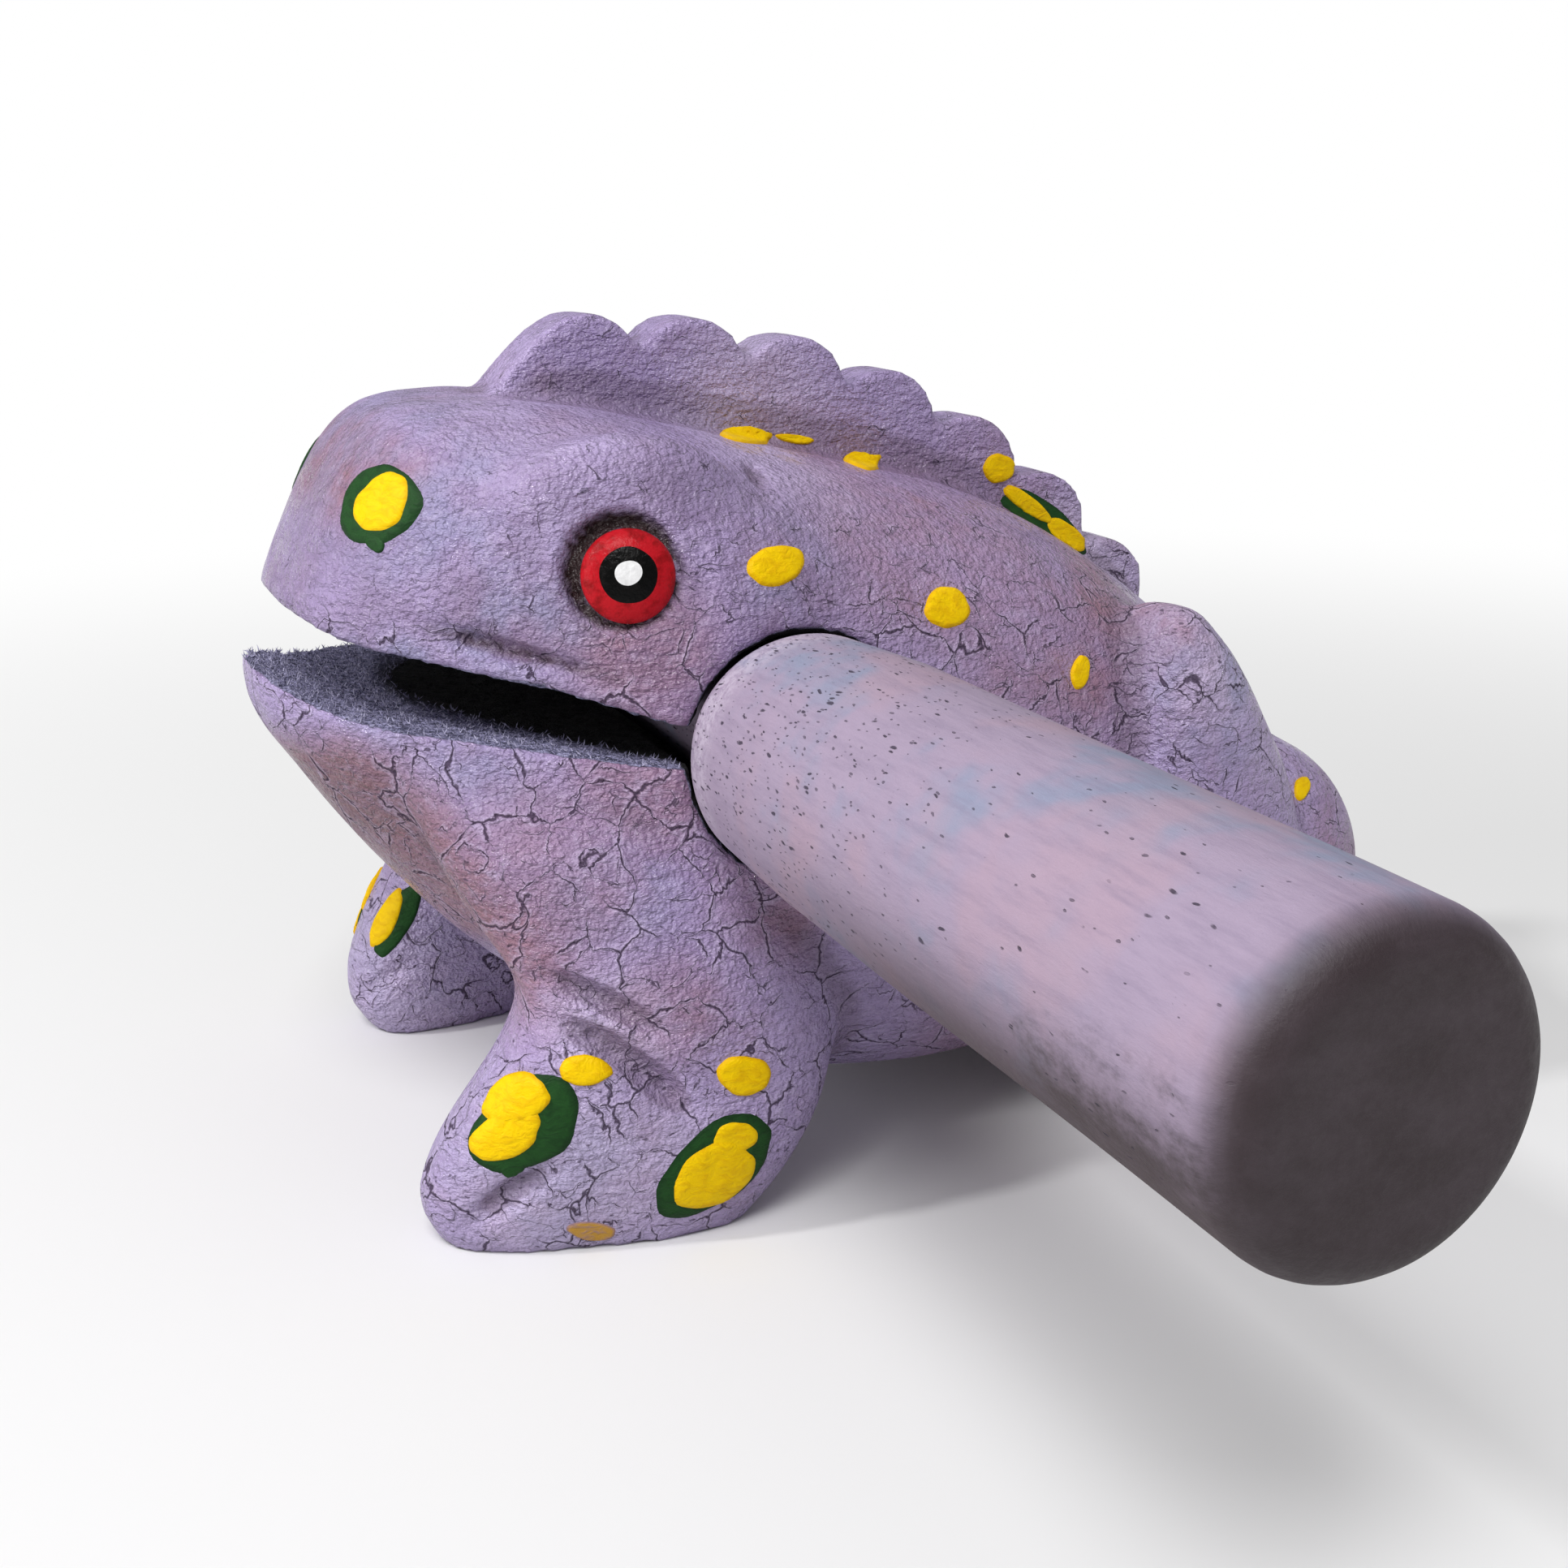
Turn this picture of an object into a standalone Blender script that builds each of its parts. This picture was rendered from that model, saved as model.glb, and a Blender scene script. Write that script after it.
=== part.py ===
"""Frog guiro: a carved wooden frog with a scalloped rasp along its back, and the turned striker
that is stored in the bore behind its mouth.

The nose points along -Y and the frog's left side along +X. The soles stand on Z = 0.
Lengths are metres, written as millimetres times MM. Outlines of the carving are tables of
stations, in shares of the frog's length, width and height, so they follow those three sizes.
"""

import math

import bmesh
import bpy
import numpy as np
from mathutils import Matrix, Vector
from mathutils.bvhtree import BVHTree

MM = 0.001

# Carving blank
FROG_LENGTH = 100 * MM
FROG_WIDTH = 60 * MM
FROG_HEIGHT = 64 * MM

# Surface left by carving and sanding
SANDING_CELL = 0.9 * MM
SANDING_PASSES = 5
CARVED_TRIANGLES = 7200

# Rasp along the back
RASP_TEETH = 7
RASP_PITCH = 9.95 * MM
RASP_DEPTH = 3.2 * MM
RASP_THICKNESS = 6.2 * MM
RASP_EDGE = 0.6 * MM
RASP_RADIUS = 70 * MM
RASP_OVER_HEAD = 4.2 * MM
RASP_CENTRE_Y = -21 * MM
RASP_FIRST_PEAK_Y = -22 * MM
RASP_FRONT_RAMP = 9 * MM
RASP_FRONT_DROP = 7.5 * MM
RASP_ROOT = 17 * MM

# Striker
HEAD_LENGTH = 68 * MM
HEAD_RADIUS = 9.8 * MM
SEAT_RADIUS = 9.3 * MM
SEAT_TAPER = 14 * MM
SHAFT_RADIUS = 5.5 * MM
SHOULDER_ROUND = 3.4 * MM
HEAD_END_ROUND = 2.8 * MM
SHAFT_END_ROUND = 2 * MM
SHAFT_PROUD = 2.5 * MM
SEAT_DEPTH = 5.5 * MM

# Bore for the shaft, its countersink for the striker's head, and the mouth sawn into the bore
BORE_ALONG = 0.363
BORE_UP = 0.58
BORE_RADIUS = 8.4 * MM
SEAT_GAP = 0.3 * MM
MOUTH_GAP = 4.7 * MM
MOUTH_FLARE = 1.6 * MM
MOUTH_PINCH = 2 * MM

# Eyes
EYE_RADIUS = 3.35 * MM
EYE_DOME = 0.9 * MM
SOCKET_WIDTH = 1 * MM
SOCKET_DEPTH = 1.4 * MM
SOCKET_SHIFT = 0.45 * MM
EYE_ALONG = 0.238
EYE_UP = 0.797

# Legs
SOLE_ALLOWANCE = 1.5 * MM
RIGHT_FOOT_SET_BACK = 4 * MM
SHOULDER_HEIGHT = 0.4
LEG_SQUARENESS = 2.7

RING_POINTS = 40
ROUND_POINTS = 56
LATHE_STEPS = 48

# Torso and head: along, half width, top, bottom, belt line, squareness above and below the belt
TORSO = (
    (0.000, 0.090, 0.668, 0.605, 0.640, 2.2, 2.2),
    (0.010, 0.205, 0.702, 0.570, 0.655, 2.3, 2.2),
    (0.030, 0.330, 0.768, 0.525, 0.670, 2.5, 2.2),
    (0.058, 0.440, 0.860, 0.455, 0.672, 2.8, 2.2),
    (0.095, 0.550, 0.940, 0.378, 0.662, 3.1, 2.3),
    (0.170, 0.725, 0.972, 0.250, 0.640, 3.3, 2.4),
    (0.250, 0.855, 0.962, 0.160, 0.610, 3.3, 2.6),
    (0.320, 0.915, 0.940, 0.112, 0.570, 3.1, 3.2),
    (0.400, 0.940, 0.908, 0.088, 0.520, 2.8, 3.8),
    (0.500, 0.945, 0.870, 0.080, 0.470, 2.6, 4.2),
    (0.600, 0.925, 0.828, 0.082, 0.440, 2.5, 3.8),
    (0.700, 0.865, 0.755, 0.092, 0.410, 2.4, 3.0),
    (0.800, 0.750, 0.645, 0.120, 0.380, 2.3, 2.8),
    (0.880, 0.610, 0.530, 0.140, 0.345, 2.3, 2.6),
    (0.945, 0.440, 0.420, 0.168, 0.305, 2.2, 2.4),
    (0.985, 0.270, 0.345, 0.200, 0.275, 2.1, 2.2),
    (1.000, 0.120, 0.300, 0.235, 0.268, 2.0, 2.0),
)

# Legs from the sole up: height, front edge, rear edge, inner side, outer side, toe-in in degrees
FRONT_LEG = (
    (0.000, 0.078, 0.320, 0.600, 0.935, 13),
    (0.045, 0.062, 0.345, 0.585, 0.965, 13),
    (0.110, 0.072, 0.372, 0.585, 0.990, 11),
    (0.170, 0.095, 0.388, 0.585, 1.000, 9),
    (0.235, 0.128, 0.395, 0.560, 1.000, 7),
    (0.300, 0.150, 0.388, 0.500, 0.985, 8),
    (0.380, 0.125, 0.368, 0.420, 0.930, 13),
    (0.470, 0.100, 0.320, 0.300, 0.860, 20),
    (0.560, 0.080, 0.290, 0.160, 0.700, 30),
)
HIND_LEG = (
    (0.000, 0.650, 0.850, 0.600, 0.930, 5),
    (0.060, 0.635, 0.865, 0.585, 0.960, 5),
    (0.125, 0.640, 0.868, 0.570, 0.985, 4),
    (0.220, 0.648, 0.862, 0.560, 1.000, 2),
    (0.340, 0.652, 0.848, 0.560, 1.000, 0),
    (0.460, 0.656, 0.824, 0.560, 0.995, -4),
    (0.560, 0.663, 0.790, 0.570, 0.975, -8),
    (0.640, 0.676, 0.757, 0.600, 0.935, -12),
    (0.700, 0.700, 0.727, 0.650, 0.850, -15),
)

# Swellings on each side: centre along, out and up, then the radii along, out and up
SWELLINGS = {
    "rump": ((0.835, 0.560, 0.268), (0.125, 0.330, 0.215)),
    "brow": ((0.250, 0.630, 0.870), (0.095, 0.130, 0.080)),
}

# Gouge strokes seen from the side: points along and up, depth, half width
STROKES = {
    "lip": (((0.108, 0.733), (0.140, 0.719), (0.171, 0.705), (0.228, 0.680)), 1.1 * MM, 1 * MM),
    "neck": (((0.376, 0.898), (0.369, 0.882), (0.363, 0.862)), 0.9 * MM, 1.1 * MM),
    "cuff_top": (((0.158, 0.345), (0.180, 0.330), (0.209, 0.304), (0.247, 0.268)), 1.3 * MM, 1.3 * MM),
    "cuff_foot": (((0.160, 0.289), (0.191, 0.271), (0.229, 0.217), (0.257, 0.170)), 1.6 * MM, 1.6 * MM),
    "toe": (((0.095, 0.048), (0.106, 0.066), (0.127, 0.096), (0.155, 0.122)), 1.1 * MM, 1.2 * MM),
    "hind_cuff": (((0.675, 0.235), (0.720, 0.215), (0.770, 0.175)), 1.3 * MM, 1.3 * MM),
}
STROKE_LIFT = 0.5 * MM

LAVENDER = (0.36, 0.27, 0.47, 1)
PALE_LAVENDER = (0.47, 0.42, 0.55, 1)

CLEAR = 40 * MM


def along(share):
    """The Y of a share of the frog's length, from the nose."""
    return (share - 0.5) * FROG_LENGTH


def out(share):
    return share * FROG_WIDTH / 2


def up(share):
    return share * FROG_HEIGHT


def link(obj, collection):
    collection.objects.link(obj)
    return obj


def mesh_object(name, bm, collection):
    mesh = bpy.data.meshes.new(name)
    bmesh.ops.recalc_face_normals(bm, faces=bm.faces)
    bm.to_mesh(mesh)
    bm.free()
    return link(bpy.data.objects.new(name, mesh), collection)


def baked(obj):
    """The object with its modifiers applied, as a plain welded mesh object of the same name."""
    bpy.context.view_layer.update()
    graph = bpy.context.evaluated_depsgraph_get()
    mesh = bpy.data.meshes.new_from_object(obj.evaluated_get(graph))
    mesh.transform(obj.matrix_world)
    bm = bmesh.new()
    bm.from_mesh(mesh)
    bmesh.ops.remove_doubles(bm, verts=bm.verts, dist=0.001 * MM)
    bmesh.ops.recalc_face_normals(bm, faces=bm.faces)
    bm.to_mesh(mesh)
    bm.free()
    name, collection = obj.name, obj.users_collection[0]
    bpy.data.objects.remove(obj)
    return link(bpy.data.objects.new(name, mesh), collection)


def eased(table, position):
    """A row of the table at this position in its first column, on smooth curves through the rows."""
    rows = np.array(table)
    keys = rows[:, 0]
    slopes = np.gradient(rows[:, 1:], keys, axis=0)
    i = int(np.clip(np.searchsorted(keys, position) - 1, 0, len(keys) - 2))
    span = keys[i + 1] - keys[i]
    u = (position - keys[i]) / span
    return (
        (2 * u**3 - 3 * u**2 + 1) * rows[i, 1:]
        + (u**3 - 2 * u**2 + u) * span * slopes[i]
        + (3 * u**2 - 2 * u**3) * rows[i + 1, 1:]
        + (u**3 - u**2) * span * slopes[i + 1]
    )


def squared(angle, squareness):
    """Cosine and sine of a superellipse, which is a rounded square where squareness is over 2."""
    c, s = math.cos(angle), math.sin(angle)
    power = 2 / squareness
    return math.copysign(abs(c) ** power, c), math.copysign(abs(s) ** power, s)


def loft(bm, rings):
    """Skins rings of equal point count, in order, and closes both ends."""
    levels = [[bm.verts.new(point) for point in ring] for ring in rings]
    count = len(rings[0])
    for lower, upper in zip(levels, levels[1:]):
        for i in range(count):
            j = (i + 1) % count
            bm.faces.new((lower[i], lower[j], upper[j], upper[i]))
    bm.faces.new(levels[0])
    bm.faces.new(levels[-1][::-1])


def torso(bm):
    rings = []
    for share in (1 - np.cos(np.linspace(0, math.pi, 64))) / 2:
        half, top, bottom, belt, above, below = eased(TORSO, share)
        ring = []
        for i in range(RING_POINTS):
            angle = 2 * math.pi * i / RING_POINTS
            upper = math.sin(angle) >= 0
            c, s = squared(angle, above if upper else below)
            height = (top - belt) if upper else (belt - bottom)
            ring.append(Vector((out(half * c), along(share), up(belt + height * s))))
        rings.append(ring)
    loft(bm, rings)


def set_back(side, height):
    """How far back the right legs stand: most at the soles, nothing from the shoulders up."""
    return RIGHT_FOOT_SET_BACK * max(0, 1 - height / SHOULDER_HEIGHT) if side < 0 else 0


def leg(bm, table, side):
    """One leg as level slices from just under the sole to inside the torso."""
    rings = []
    for height in np.linspace(table[0][0], table[-1][0], 26):
        front, rear, inner, outer, toe_in = eased(table, height)
        y = along((front + rear) / 2) + set_back(side, height)
        centre = Vector((out(inner + outer) / 2, y, up(height)))
        ring = []
        for i in range(RING_POINTS):
            c, s = squared(2 * math.pi * i / RING_POINTS, LEG_SQUARENESS)
            point = Vector((out(outer - inner) / 2 * c, (rear - front) / 2 * FROG_LENGTH * s, 0))
            point.rotate(Matrix.Rotation(-math.radians(toe_in), 3, "Z"))
            ring.append(Vector((side * (centre + point).x, (centre + point).y, centre.z)))
        rings.append(ring)
    sole = [point - Vector((0, 0, SOLE_ALLOWANCE)) for point in rings[0]]
    loft(bm, [sole] + rings)


def swelling(bm, centre, radii, side):
    place = Matrix.Translation((side * out(centre[1]), along(centre[0]), up(centre[2])))
    size = Matrix.Diagonal((out(radii[1]), radii[0] * FROG_LENGTH, up(radii[2]), 1))
    bmesh.ops.create_uvsphere(bm, u_segments=32, v_segments=16, radius=1, matrix=place @ size)


def outline_object(name, points, thickness, collection):
    """A flat outline in the YZ plane, given as (y, z), with this thickness along X."""
    curve = bpy.data.curves.new(name, "CURVE")
    curve.dimensions = "2D"
    curve.fill_mode = "BOTH"
    curve.extrude = thickness / 2
    spline = curve.splines.new("POLY")
    spline.points.add(len(points) - 1)
    for target, (y, z) in zip(spline.points, points):
        target.co = (y, z, 0, 1)
    spline.use_cyclic_u = True
    obj = link(bpy.data.objects.new(name, curve), collection)
    obj.rotation_euler = (math.pi / 2, 0, math.pi / 2)
    return baked(obj)


def rasp_outline():
    """Round teeth along an arc over the back. The first one ramps down onto the head."""
    step = RASP_PITCH / RASP_RADIUS
    first = math.asin((RASP_FIRST_PEAK_Y - RASP_CENTRE_Y) / RASP_RADIUS)
    centre_z = rasp_centre_z()
    tooth_radius = (RASP_PITCH**2 / 4 + RASP_DEPTH**2) / (2 * RASP_DEPTH)

    def at(angle, radius):
        return RASP_CENTRE_Y + radius * math.sin(angle), centre_z + radius * math.cos(angle)

    points = []
    peak_y, peak_z = at(first, RASP_RADIUS)
    for i in range(9):
        short = 1 - i / 9
        points.append((peak_y - RASP_FRONT_RAMP * short, peak_z - RASP_FRONT_DROP * short**1.6))
    for tooth in range(RASP_TEETH):
        start = 0 if tooth == 0 else -6
        for i in range(start, 7):
            across = RASP_PITCH / 2 * i / 6
            rise = math.sqrt(tooth_radius**2 - across**2) - (tooth_radius - RASP_DEPTH)
            angle = first + tooth * step + across / RASP_RADIUS
            if i < 6 or tooth == RASP_TEETH - 1:
                points.append(at(angle, RASP_RADIUS - RASP_DEPTH + rise))
    last = first + (RASP_TEETH - 0.5) * step
    for i in range(8):
        angle = last + (first - last) * i / 7
        points.append(at(angle, RASP_RADIUS - RASP_ROOT))
    points.append((points[0][0], points[0][1] - RASP_ROOT / 2))
    return points


def rasp_centre_z():
    """Height of the centre of the arc that the tops of the teeth lie on."""
    return FROG_HEIGHT + RASP_OVER_HEAD - RASP_RADIUS


def rasp(helpers):
    blade = outline_object("rasp", rasp_outline(), RASP_THICKNESS, helpers)
    edge = blade.modifiers.new("broken_edges", "BEVEL")
    edge.width = RASP_EDGE
    edge.segments = 1
    edge.limit_method = "ANGLE"
    edge.angle_limit = math.radians(80)
    return baked(blade)


def carved_form(helpers):
    """Everything that is proud but the rasp, run together and sanded into one surface."""
    bm = bmesh.new()
    torso(bm)
    for side in (-1, 1):
        leg(bm, FRONT_LEG, side)
        leg(bm, HIND_LEG, side)
        for centre, radii in SWELLINGS.values():
            swelling(bm, centre, radii, side)
    form = mesh_object("frog_body", bm, helpers)
    remesh = form.modifiers.new("run_together", "REMESH")
    remesh.mode = "VOXEL"
    remesh.voxel_size = SANDING_CELL
    sanding = form.modifiers.new("sanding", "SMOOTH")
    sanding.factor = 0.5
    sanding.iterations = SANDING_PASSES
    form = baked(form)
    facets = form.modifiers.new("facets", "DECIMATE")
    facets.ratio = CARVED_TRIANGLES / (2 * len(form.data.polygons))
    return baked(form)


def surface(obj):
    bm = bmesh.new()
    bm.from_mesh(obj.data)
    tree = BVHTree.FromBMesh(bm)
    bm.free()
    return tree


def landed(tree, start, direction):
    """Where a line from this start first meets the surface, and the surface's normal there."""
    point, normal, _, _ = tree.ray_cast(Vector(start), Vector(direction))
    return point, normal


def gouge(bm, hits, depth, half_width):
    """A V cut along points on the surface that runs out to nothing at both ends."""
    count = len(hits)
    sections = []
    for i, (point, _) in enumerate(hits):
        ahead, behind = hits[min(i + 1, count - 1)][0], hits[max(i - 1, 0)][0]
        normal = sum((n for _, n in hits[max(i - 2, 0) : i + 3]), Vector()).normalized()
        across = normal.cross(ahead - behind).normalized()
        share = 0.12 + 0.88 * math.sin(math.pi * i / (count - 1)) ** 0.7
        spread = across * half_width * (share + STROKE_LIFT / depth)
        top = point + STROKE_LIFT * normal
        sections.append((top - spread, point - depth * share * normal, top + spread))
    loft(bm, sections)


def through(points, steps=3):
    """Points along a smooth line through the given pairs, this many steps from one to the next."""
    table = [(i, *pair) for i, pair in enumerate(points)]
    spans = len(points) - 1
    return [eased(table, p) for p in np.linspace(0, spans, steps * spans + 1)]


def strokes(tree, side, helpers):
    """A V cutter for each stroke, where lines from the side meet the surface."""
    made = []
    for name, (points, depth, half_width) in STROKES.items():
        starts = [(side * CLEAR, along(a) + set_back(side, u), up(u)) for a, u in through(points)]
        hits = [landed(tree, start, (-side, 0, 0)) for start in starts]
        bm = bmesh.new()
        gouge(bm, [hit for hit in hits if hit[0] is not None], depth, half_width)
        made.append(mesh_object(f"{name}_{'left' if side > 0 else 'right'}", bm, helpers))
    return made


def round_bar(name, radius, start, end, helpers, end_radius=None):
    """A closed bar, or a cone where end_radius differs, from start to end."""
    axis = end - start
    bm = bmesh.new()
    bmesh.ops.create_cone(
        bm,
        cap_ends=True,
        segments=ROUND_POINTS,
        radius1=radius,
        radius2=radius if end_radius is None else end_radius,
        depth=axis.length,
        matrix=Matrix.Translation((start + end) / 2) @ axis.to_track_quat("Z", "Y").to_matrix().to_4x4(),
    )
    return mesh_object(name, bm, helpers)


def combine(obj, other, operation):
    modifier = obj.modifiers.new(other.name, "BOOLEAN")
    modifier.operation = operation
    modifier.object = other


def mouth_cutter(helpers):
    """The saw cut from the bore to the nose: narrow at its corners, open and turned up at the lips."""
    rise = 0.145
    lower, upper = [], []
    for reach in (0, 7, 10, 13, 17, 22, 26, 31, 36, 40):
        y = along(BORE_ALONG) - reach * MM
        turn_up = 3.2 * MM * max(0, (reach - 28) / 10) ** 2
        half = (MOUTH_GAP + MOUTH_FLARE * max(0, (reach - 20) / 20)) / 2
        middle = up(BORE_UP) + 0.7 * MM + rise * reach * MM + turn_up
        lower.append((y, middle - half))
        upper.append((y, middle + half - MOUTH_PINCH * min(1, max(0, (19 - reach) / 10))))
    return outline_object("mouth", lower + upper[::-1], FROG_WIDTH + 2 * CLEAR, helpers)


def eye(body, tree, side, helpers):
    """A domed disc left standing in a ring cut by a hollow drill, square to the face."""
    label = "left" if side > 0 else "right"
    centre, normal = landed(tree, (side * CLEAR, along(EYE_ALONG), up(EYE_UP)), (-side, 0, 0))
    forward_up = Vector((0, -1, 1)).normalized()
    shift = SOCKET_SHIFT * (forward_up - forward_up.dot(normal) * normal).normalized()
    rim = EYE_RADIUS + SOCKET_WIDTH
    bottom = centre - SOCKET_DEPTH * normal
    top = centre + 2 * SOCKET_DEPTH * normal
    ring = round_bar(
        f"socket_{label}", rim - 0.4 * MM, bottom + shift, top + shift, helpers, rim + 0.9 * MM
    )
    post = round_bar(
        f"post_{label}", EYE_RADIUS, bottom - SOCKET_DEPTH * normal, top + SOCKET_DEPTH * normal, helpers
    )
    combine(ring, post, "DIFFERENCE")
    combine(body, ring, "DIFFERENCE")
    bm = bmesh.new()
    dome_radius = EYE_RADIUS - 0.12 * MM
    flat = Matrix.Diagonal((dome_radius, dome_radius, EYE_DOME + 0.3 * MM, 1))
    turn = normal.to_track_quat("Z", "Y").to_matrix().to_4x4()
    bmesh.ops.create_uvsphere(
        bm,
        u_segments=28,
        v_segments=10,
        radius=1,
        matrix=Matrix.Translation(centre - 0.3 * MM * normal) @ turn @ flat,
    )
    combine(body, mesh_object(f"dome_{label}", bm, helpers), "UNION")


def ground_cutter(helpers):
    """What is sawn off to level the soles."""
    bm = bmesh.new()
    depth = 10 * MM
    size = Matrix.Diagonal((2 * FROG_WIDTH, 2 * FROG_LENGTH, depth, 1))
    bmesh.ops.create_cube(bm, size=1, matrix=Matrix.Translation((0, 0, -depth / 2)) @ size)
    return mesh_object("ground", bm, helpers)


def frog(parts, helpers):
    body = carved_form(helpers)
    tree = surface(body)
    combine(body, rasp(helpers), "UNION")
    for side in (-1, 1):
        eye(body, tree, side, helpers)
    far = Vector((FROG_WIDTH, along(BORE_ALONG), up(BORE_UP)))
    near = Vector((-FROG_WIDTH, along(BORE_ALONG), up(BORE_UP)))
    combine(body, round_bar("bore", BORE_RADIUS, near, far, helpers), "DIFFERENCE")
    hollow = head_profile(SEAT_GAP) + [(shoulder_x() - SEAT_GAP, 0)]
    combine(body, turned("seat", hollow, helpers), "DIFFERENCE")
    combine(body, mouth_cutter(helpers), "DIFFERENCE")
    for side in (-1, 1):
        for cutter in strokes(tree, side, helpers):
            combine(body, cutter, "DIFFERENCE")
    combine(body, ground_cutter(helpers), "DIFFERENCE")
    helpers.objects.unlink(body)
    return link(body, parts)


def rounded_corner(centre_x, centre_r, radius, start, end, steps=6):
    """Points (x, r) on an arc of the turned profile, from one angle in degrees to another."""
    points = []
    for i in range(steps + 1):
        turn = math.radians(start + (end - start) * i / steps)
        points.append((centre_x + radius * math.cos(turn), centre_r + radius * math.sin(turn)))
    return points


def shoulder_x():
    """Where the striker's head begins, just inside the frog's left side."""
    return FROG_WIDTH / 2 - SEAT_DEPTH


def head_profile(grown=0):
    """Points (x, r) of the striker's head from its free end to its shoulder, or of a hollow round it."""
    shoulder = shoulder_x()
    end = shoulder + HEAD_LENGTH + grown
    profile = [(end, 0)]
    profile += rounded_corner(
        end - HEAD_END_ROUND, HEAD_RADIUS + grown - HEAD_END_ROUND, HEAD_END_ROUND, 0, 90
    )
    profile += [(shoulder + SEAT_TAPER, HEAD_RADIUS + grown)]
    profile += rounded_corner(
        shoulder + SHOULDER_ROUND, SEAT_RADIUS - SHOULDER_ROUND, SHOULDER_ROUND + grown, 90, 180
    )
    return profile


def turned(name, profile, collection):
    """A solid turned on a lathe about the bore's axis."""
    bm = bmesh.new()
    verts = [bm.verts.new((x, 0, r)) for x, r in profile]
    for first, second in zip(verts, verts[1:]):
        bm.edges.new((first, second))
    mesh = bpy.data.meshes.new(name)
    bm.to_mesh(mesh)
    bm.free()
    obj = link(bpy.data.objects.new(name, mesh), collection)
    lathe = obj.modifiers.new("lathe", "SCREW")
    lathe.axis = "X"
    lathe.steps = lathe.render_steps = LATHE_STEPS
    lathe.use_merge_vertices = True
    lathe.merge_threshold = 0.05 * MM
    lathe.use_normal_calculate = True
    obj.location = (0, along(BORE_ALONG), up(BORE_UP))
    return baked(obj)


def striker(parts):
    """A thick head with a rounded shoulder on a thinner shaft that reaches through the frog."""
    tip = -FROG_WIDTH / 2 - SHAFT_PROUD
    profile = head_profile()
    profile += [(shoulder_x(), SHAFT_RADIUS)]
    profile += rounded_corner(tip + SHAFT_END_ROUND, SHAFT_RADIUS - SHAFT_END_ROUND, SHAFT_END_ROUND, 90, 180)
    profile += [(tip, 0)]
    return turned("striker", profile, parts), tip, shoulder_x() + HEAD_LENGTH


def paint(obj, name, colour, roughness):
    material = bpy.data.materials.new(name)
    material.use_nodes = True
    shader = material.node_tree.nodes["Principled BSDF"]
    shader.inputs["Base Color"].default_value = colour
    shader.inputs["Roughness"].default_value = roughness
    shader.inputs["Metallic"].default_value = 0
    material.diffuse_color = colour
    obj.data.materials.clear()
    obj.data.materials.append(material)


def main():
    for obj in list(bpy.data.objects):
        bpy.data.objects.remove(obj)
    parts = bpy.data.collections.new("frog_guiro")
    helpers = bpy.data.collections.new("cutters")
    for collection in (parts, helpers):
        bpy.context.scene.collection.children.link(collection)
    body = frog(parts, helpers)
    stick, tip, end = striker(parts)
    paint(body, "lavender_crackle", LAVENDER, 0.4)
    paint(stick, "lavender_wash", PALE_LAVENDER, 0.6)
    origin = link(bpy.data.objects.new("origin", None), parts)
    origin.location = (-(tip + end) / 2, 0, 0)
    for obj in (body, stick):
        obj.parent = origin
        obj.data.shade_smooth()
    for helper in helpers.objects:
        helper.parent = origin
        helper.hide_render = True
        helper.display_type = "WIRE"


main()
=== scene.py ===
"""Looks of the frog guiro: crackled lavender paint with raised yellow and green dabs, painted
eyes, and a striker of open-pored wood. Lengths are millimetres times MM. Places on the frog
are written from its own middle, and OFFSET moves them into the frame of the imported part."""

import math
import random

import bmesh
import bpy
import numpy as np
from mathutils import Matrix, Vector, kdtree, noise
from mathutils.bvhtree import BVHTree


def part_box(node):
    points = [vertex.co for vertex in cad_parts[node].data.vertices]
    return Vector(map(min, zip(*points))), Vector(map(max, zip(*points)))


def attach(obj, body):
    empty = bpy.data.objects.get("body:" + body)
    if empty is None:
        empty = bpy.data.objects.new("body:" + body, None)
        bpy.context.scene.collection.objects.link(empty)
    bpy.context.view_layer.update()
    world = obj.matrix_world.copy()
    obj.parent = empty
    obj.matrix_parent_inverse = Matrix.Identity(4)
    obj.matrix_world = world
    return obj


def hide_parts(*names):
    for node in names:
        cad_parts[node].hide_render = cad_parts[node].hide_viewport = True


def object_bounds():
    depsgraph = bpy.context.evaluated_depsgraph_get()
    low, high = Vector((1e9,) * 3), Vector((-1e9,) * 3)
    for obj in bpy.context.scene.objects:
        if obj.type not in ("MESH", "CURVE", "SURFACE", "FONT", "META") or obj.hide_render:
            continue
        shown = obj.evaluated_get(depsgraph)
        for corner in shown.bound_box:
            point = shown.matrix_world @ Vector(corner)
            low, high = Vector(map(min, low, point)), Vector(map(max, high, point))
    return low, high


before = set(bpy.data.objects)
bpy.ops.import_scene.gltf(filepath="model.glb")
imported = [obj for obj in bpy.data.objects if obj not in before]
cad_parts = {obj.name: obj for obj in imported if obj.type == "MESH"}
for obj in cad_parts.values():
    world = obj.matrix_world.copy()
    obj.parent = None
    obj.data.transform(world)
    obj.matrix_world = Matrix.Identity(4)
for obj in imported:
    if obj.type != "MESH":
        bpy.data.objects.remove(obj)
cad_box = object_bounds()

MM = 0.001
OFFSET = Vector((-30, 0, 0))

# Camera, fitted to the photograph
IMAGE_SIZE = 1932
FOCAL_PIXELS = 2400
CAMERA_AT = Vector((154.5, -71.6, 77.2))
CAMERA_AZIMUTH = math.radians(66.2)
CAMERA_ELEVATION = math.radians(16.9)
CAMERA_ROLL = math.radians(0.3)
SENSOR_WIDTH = 36
CLIP_START = 0.01

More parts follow.
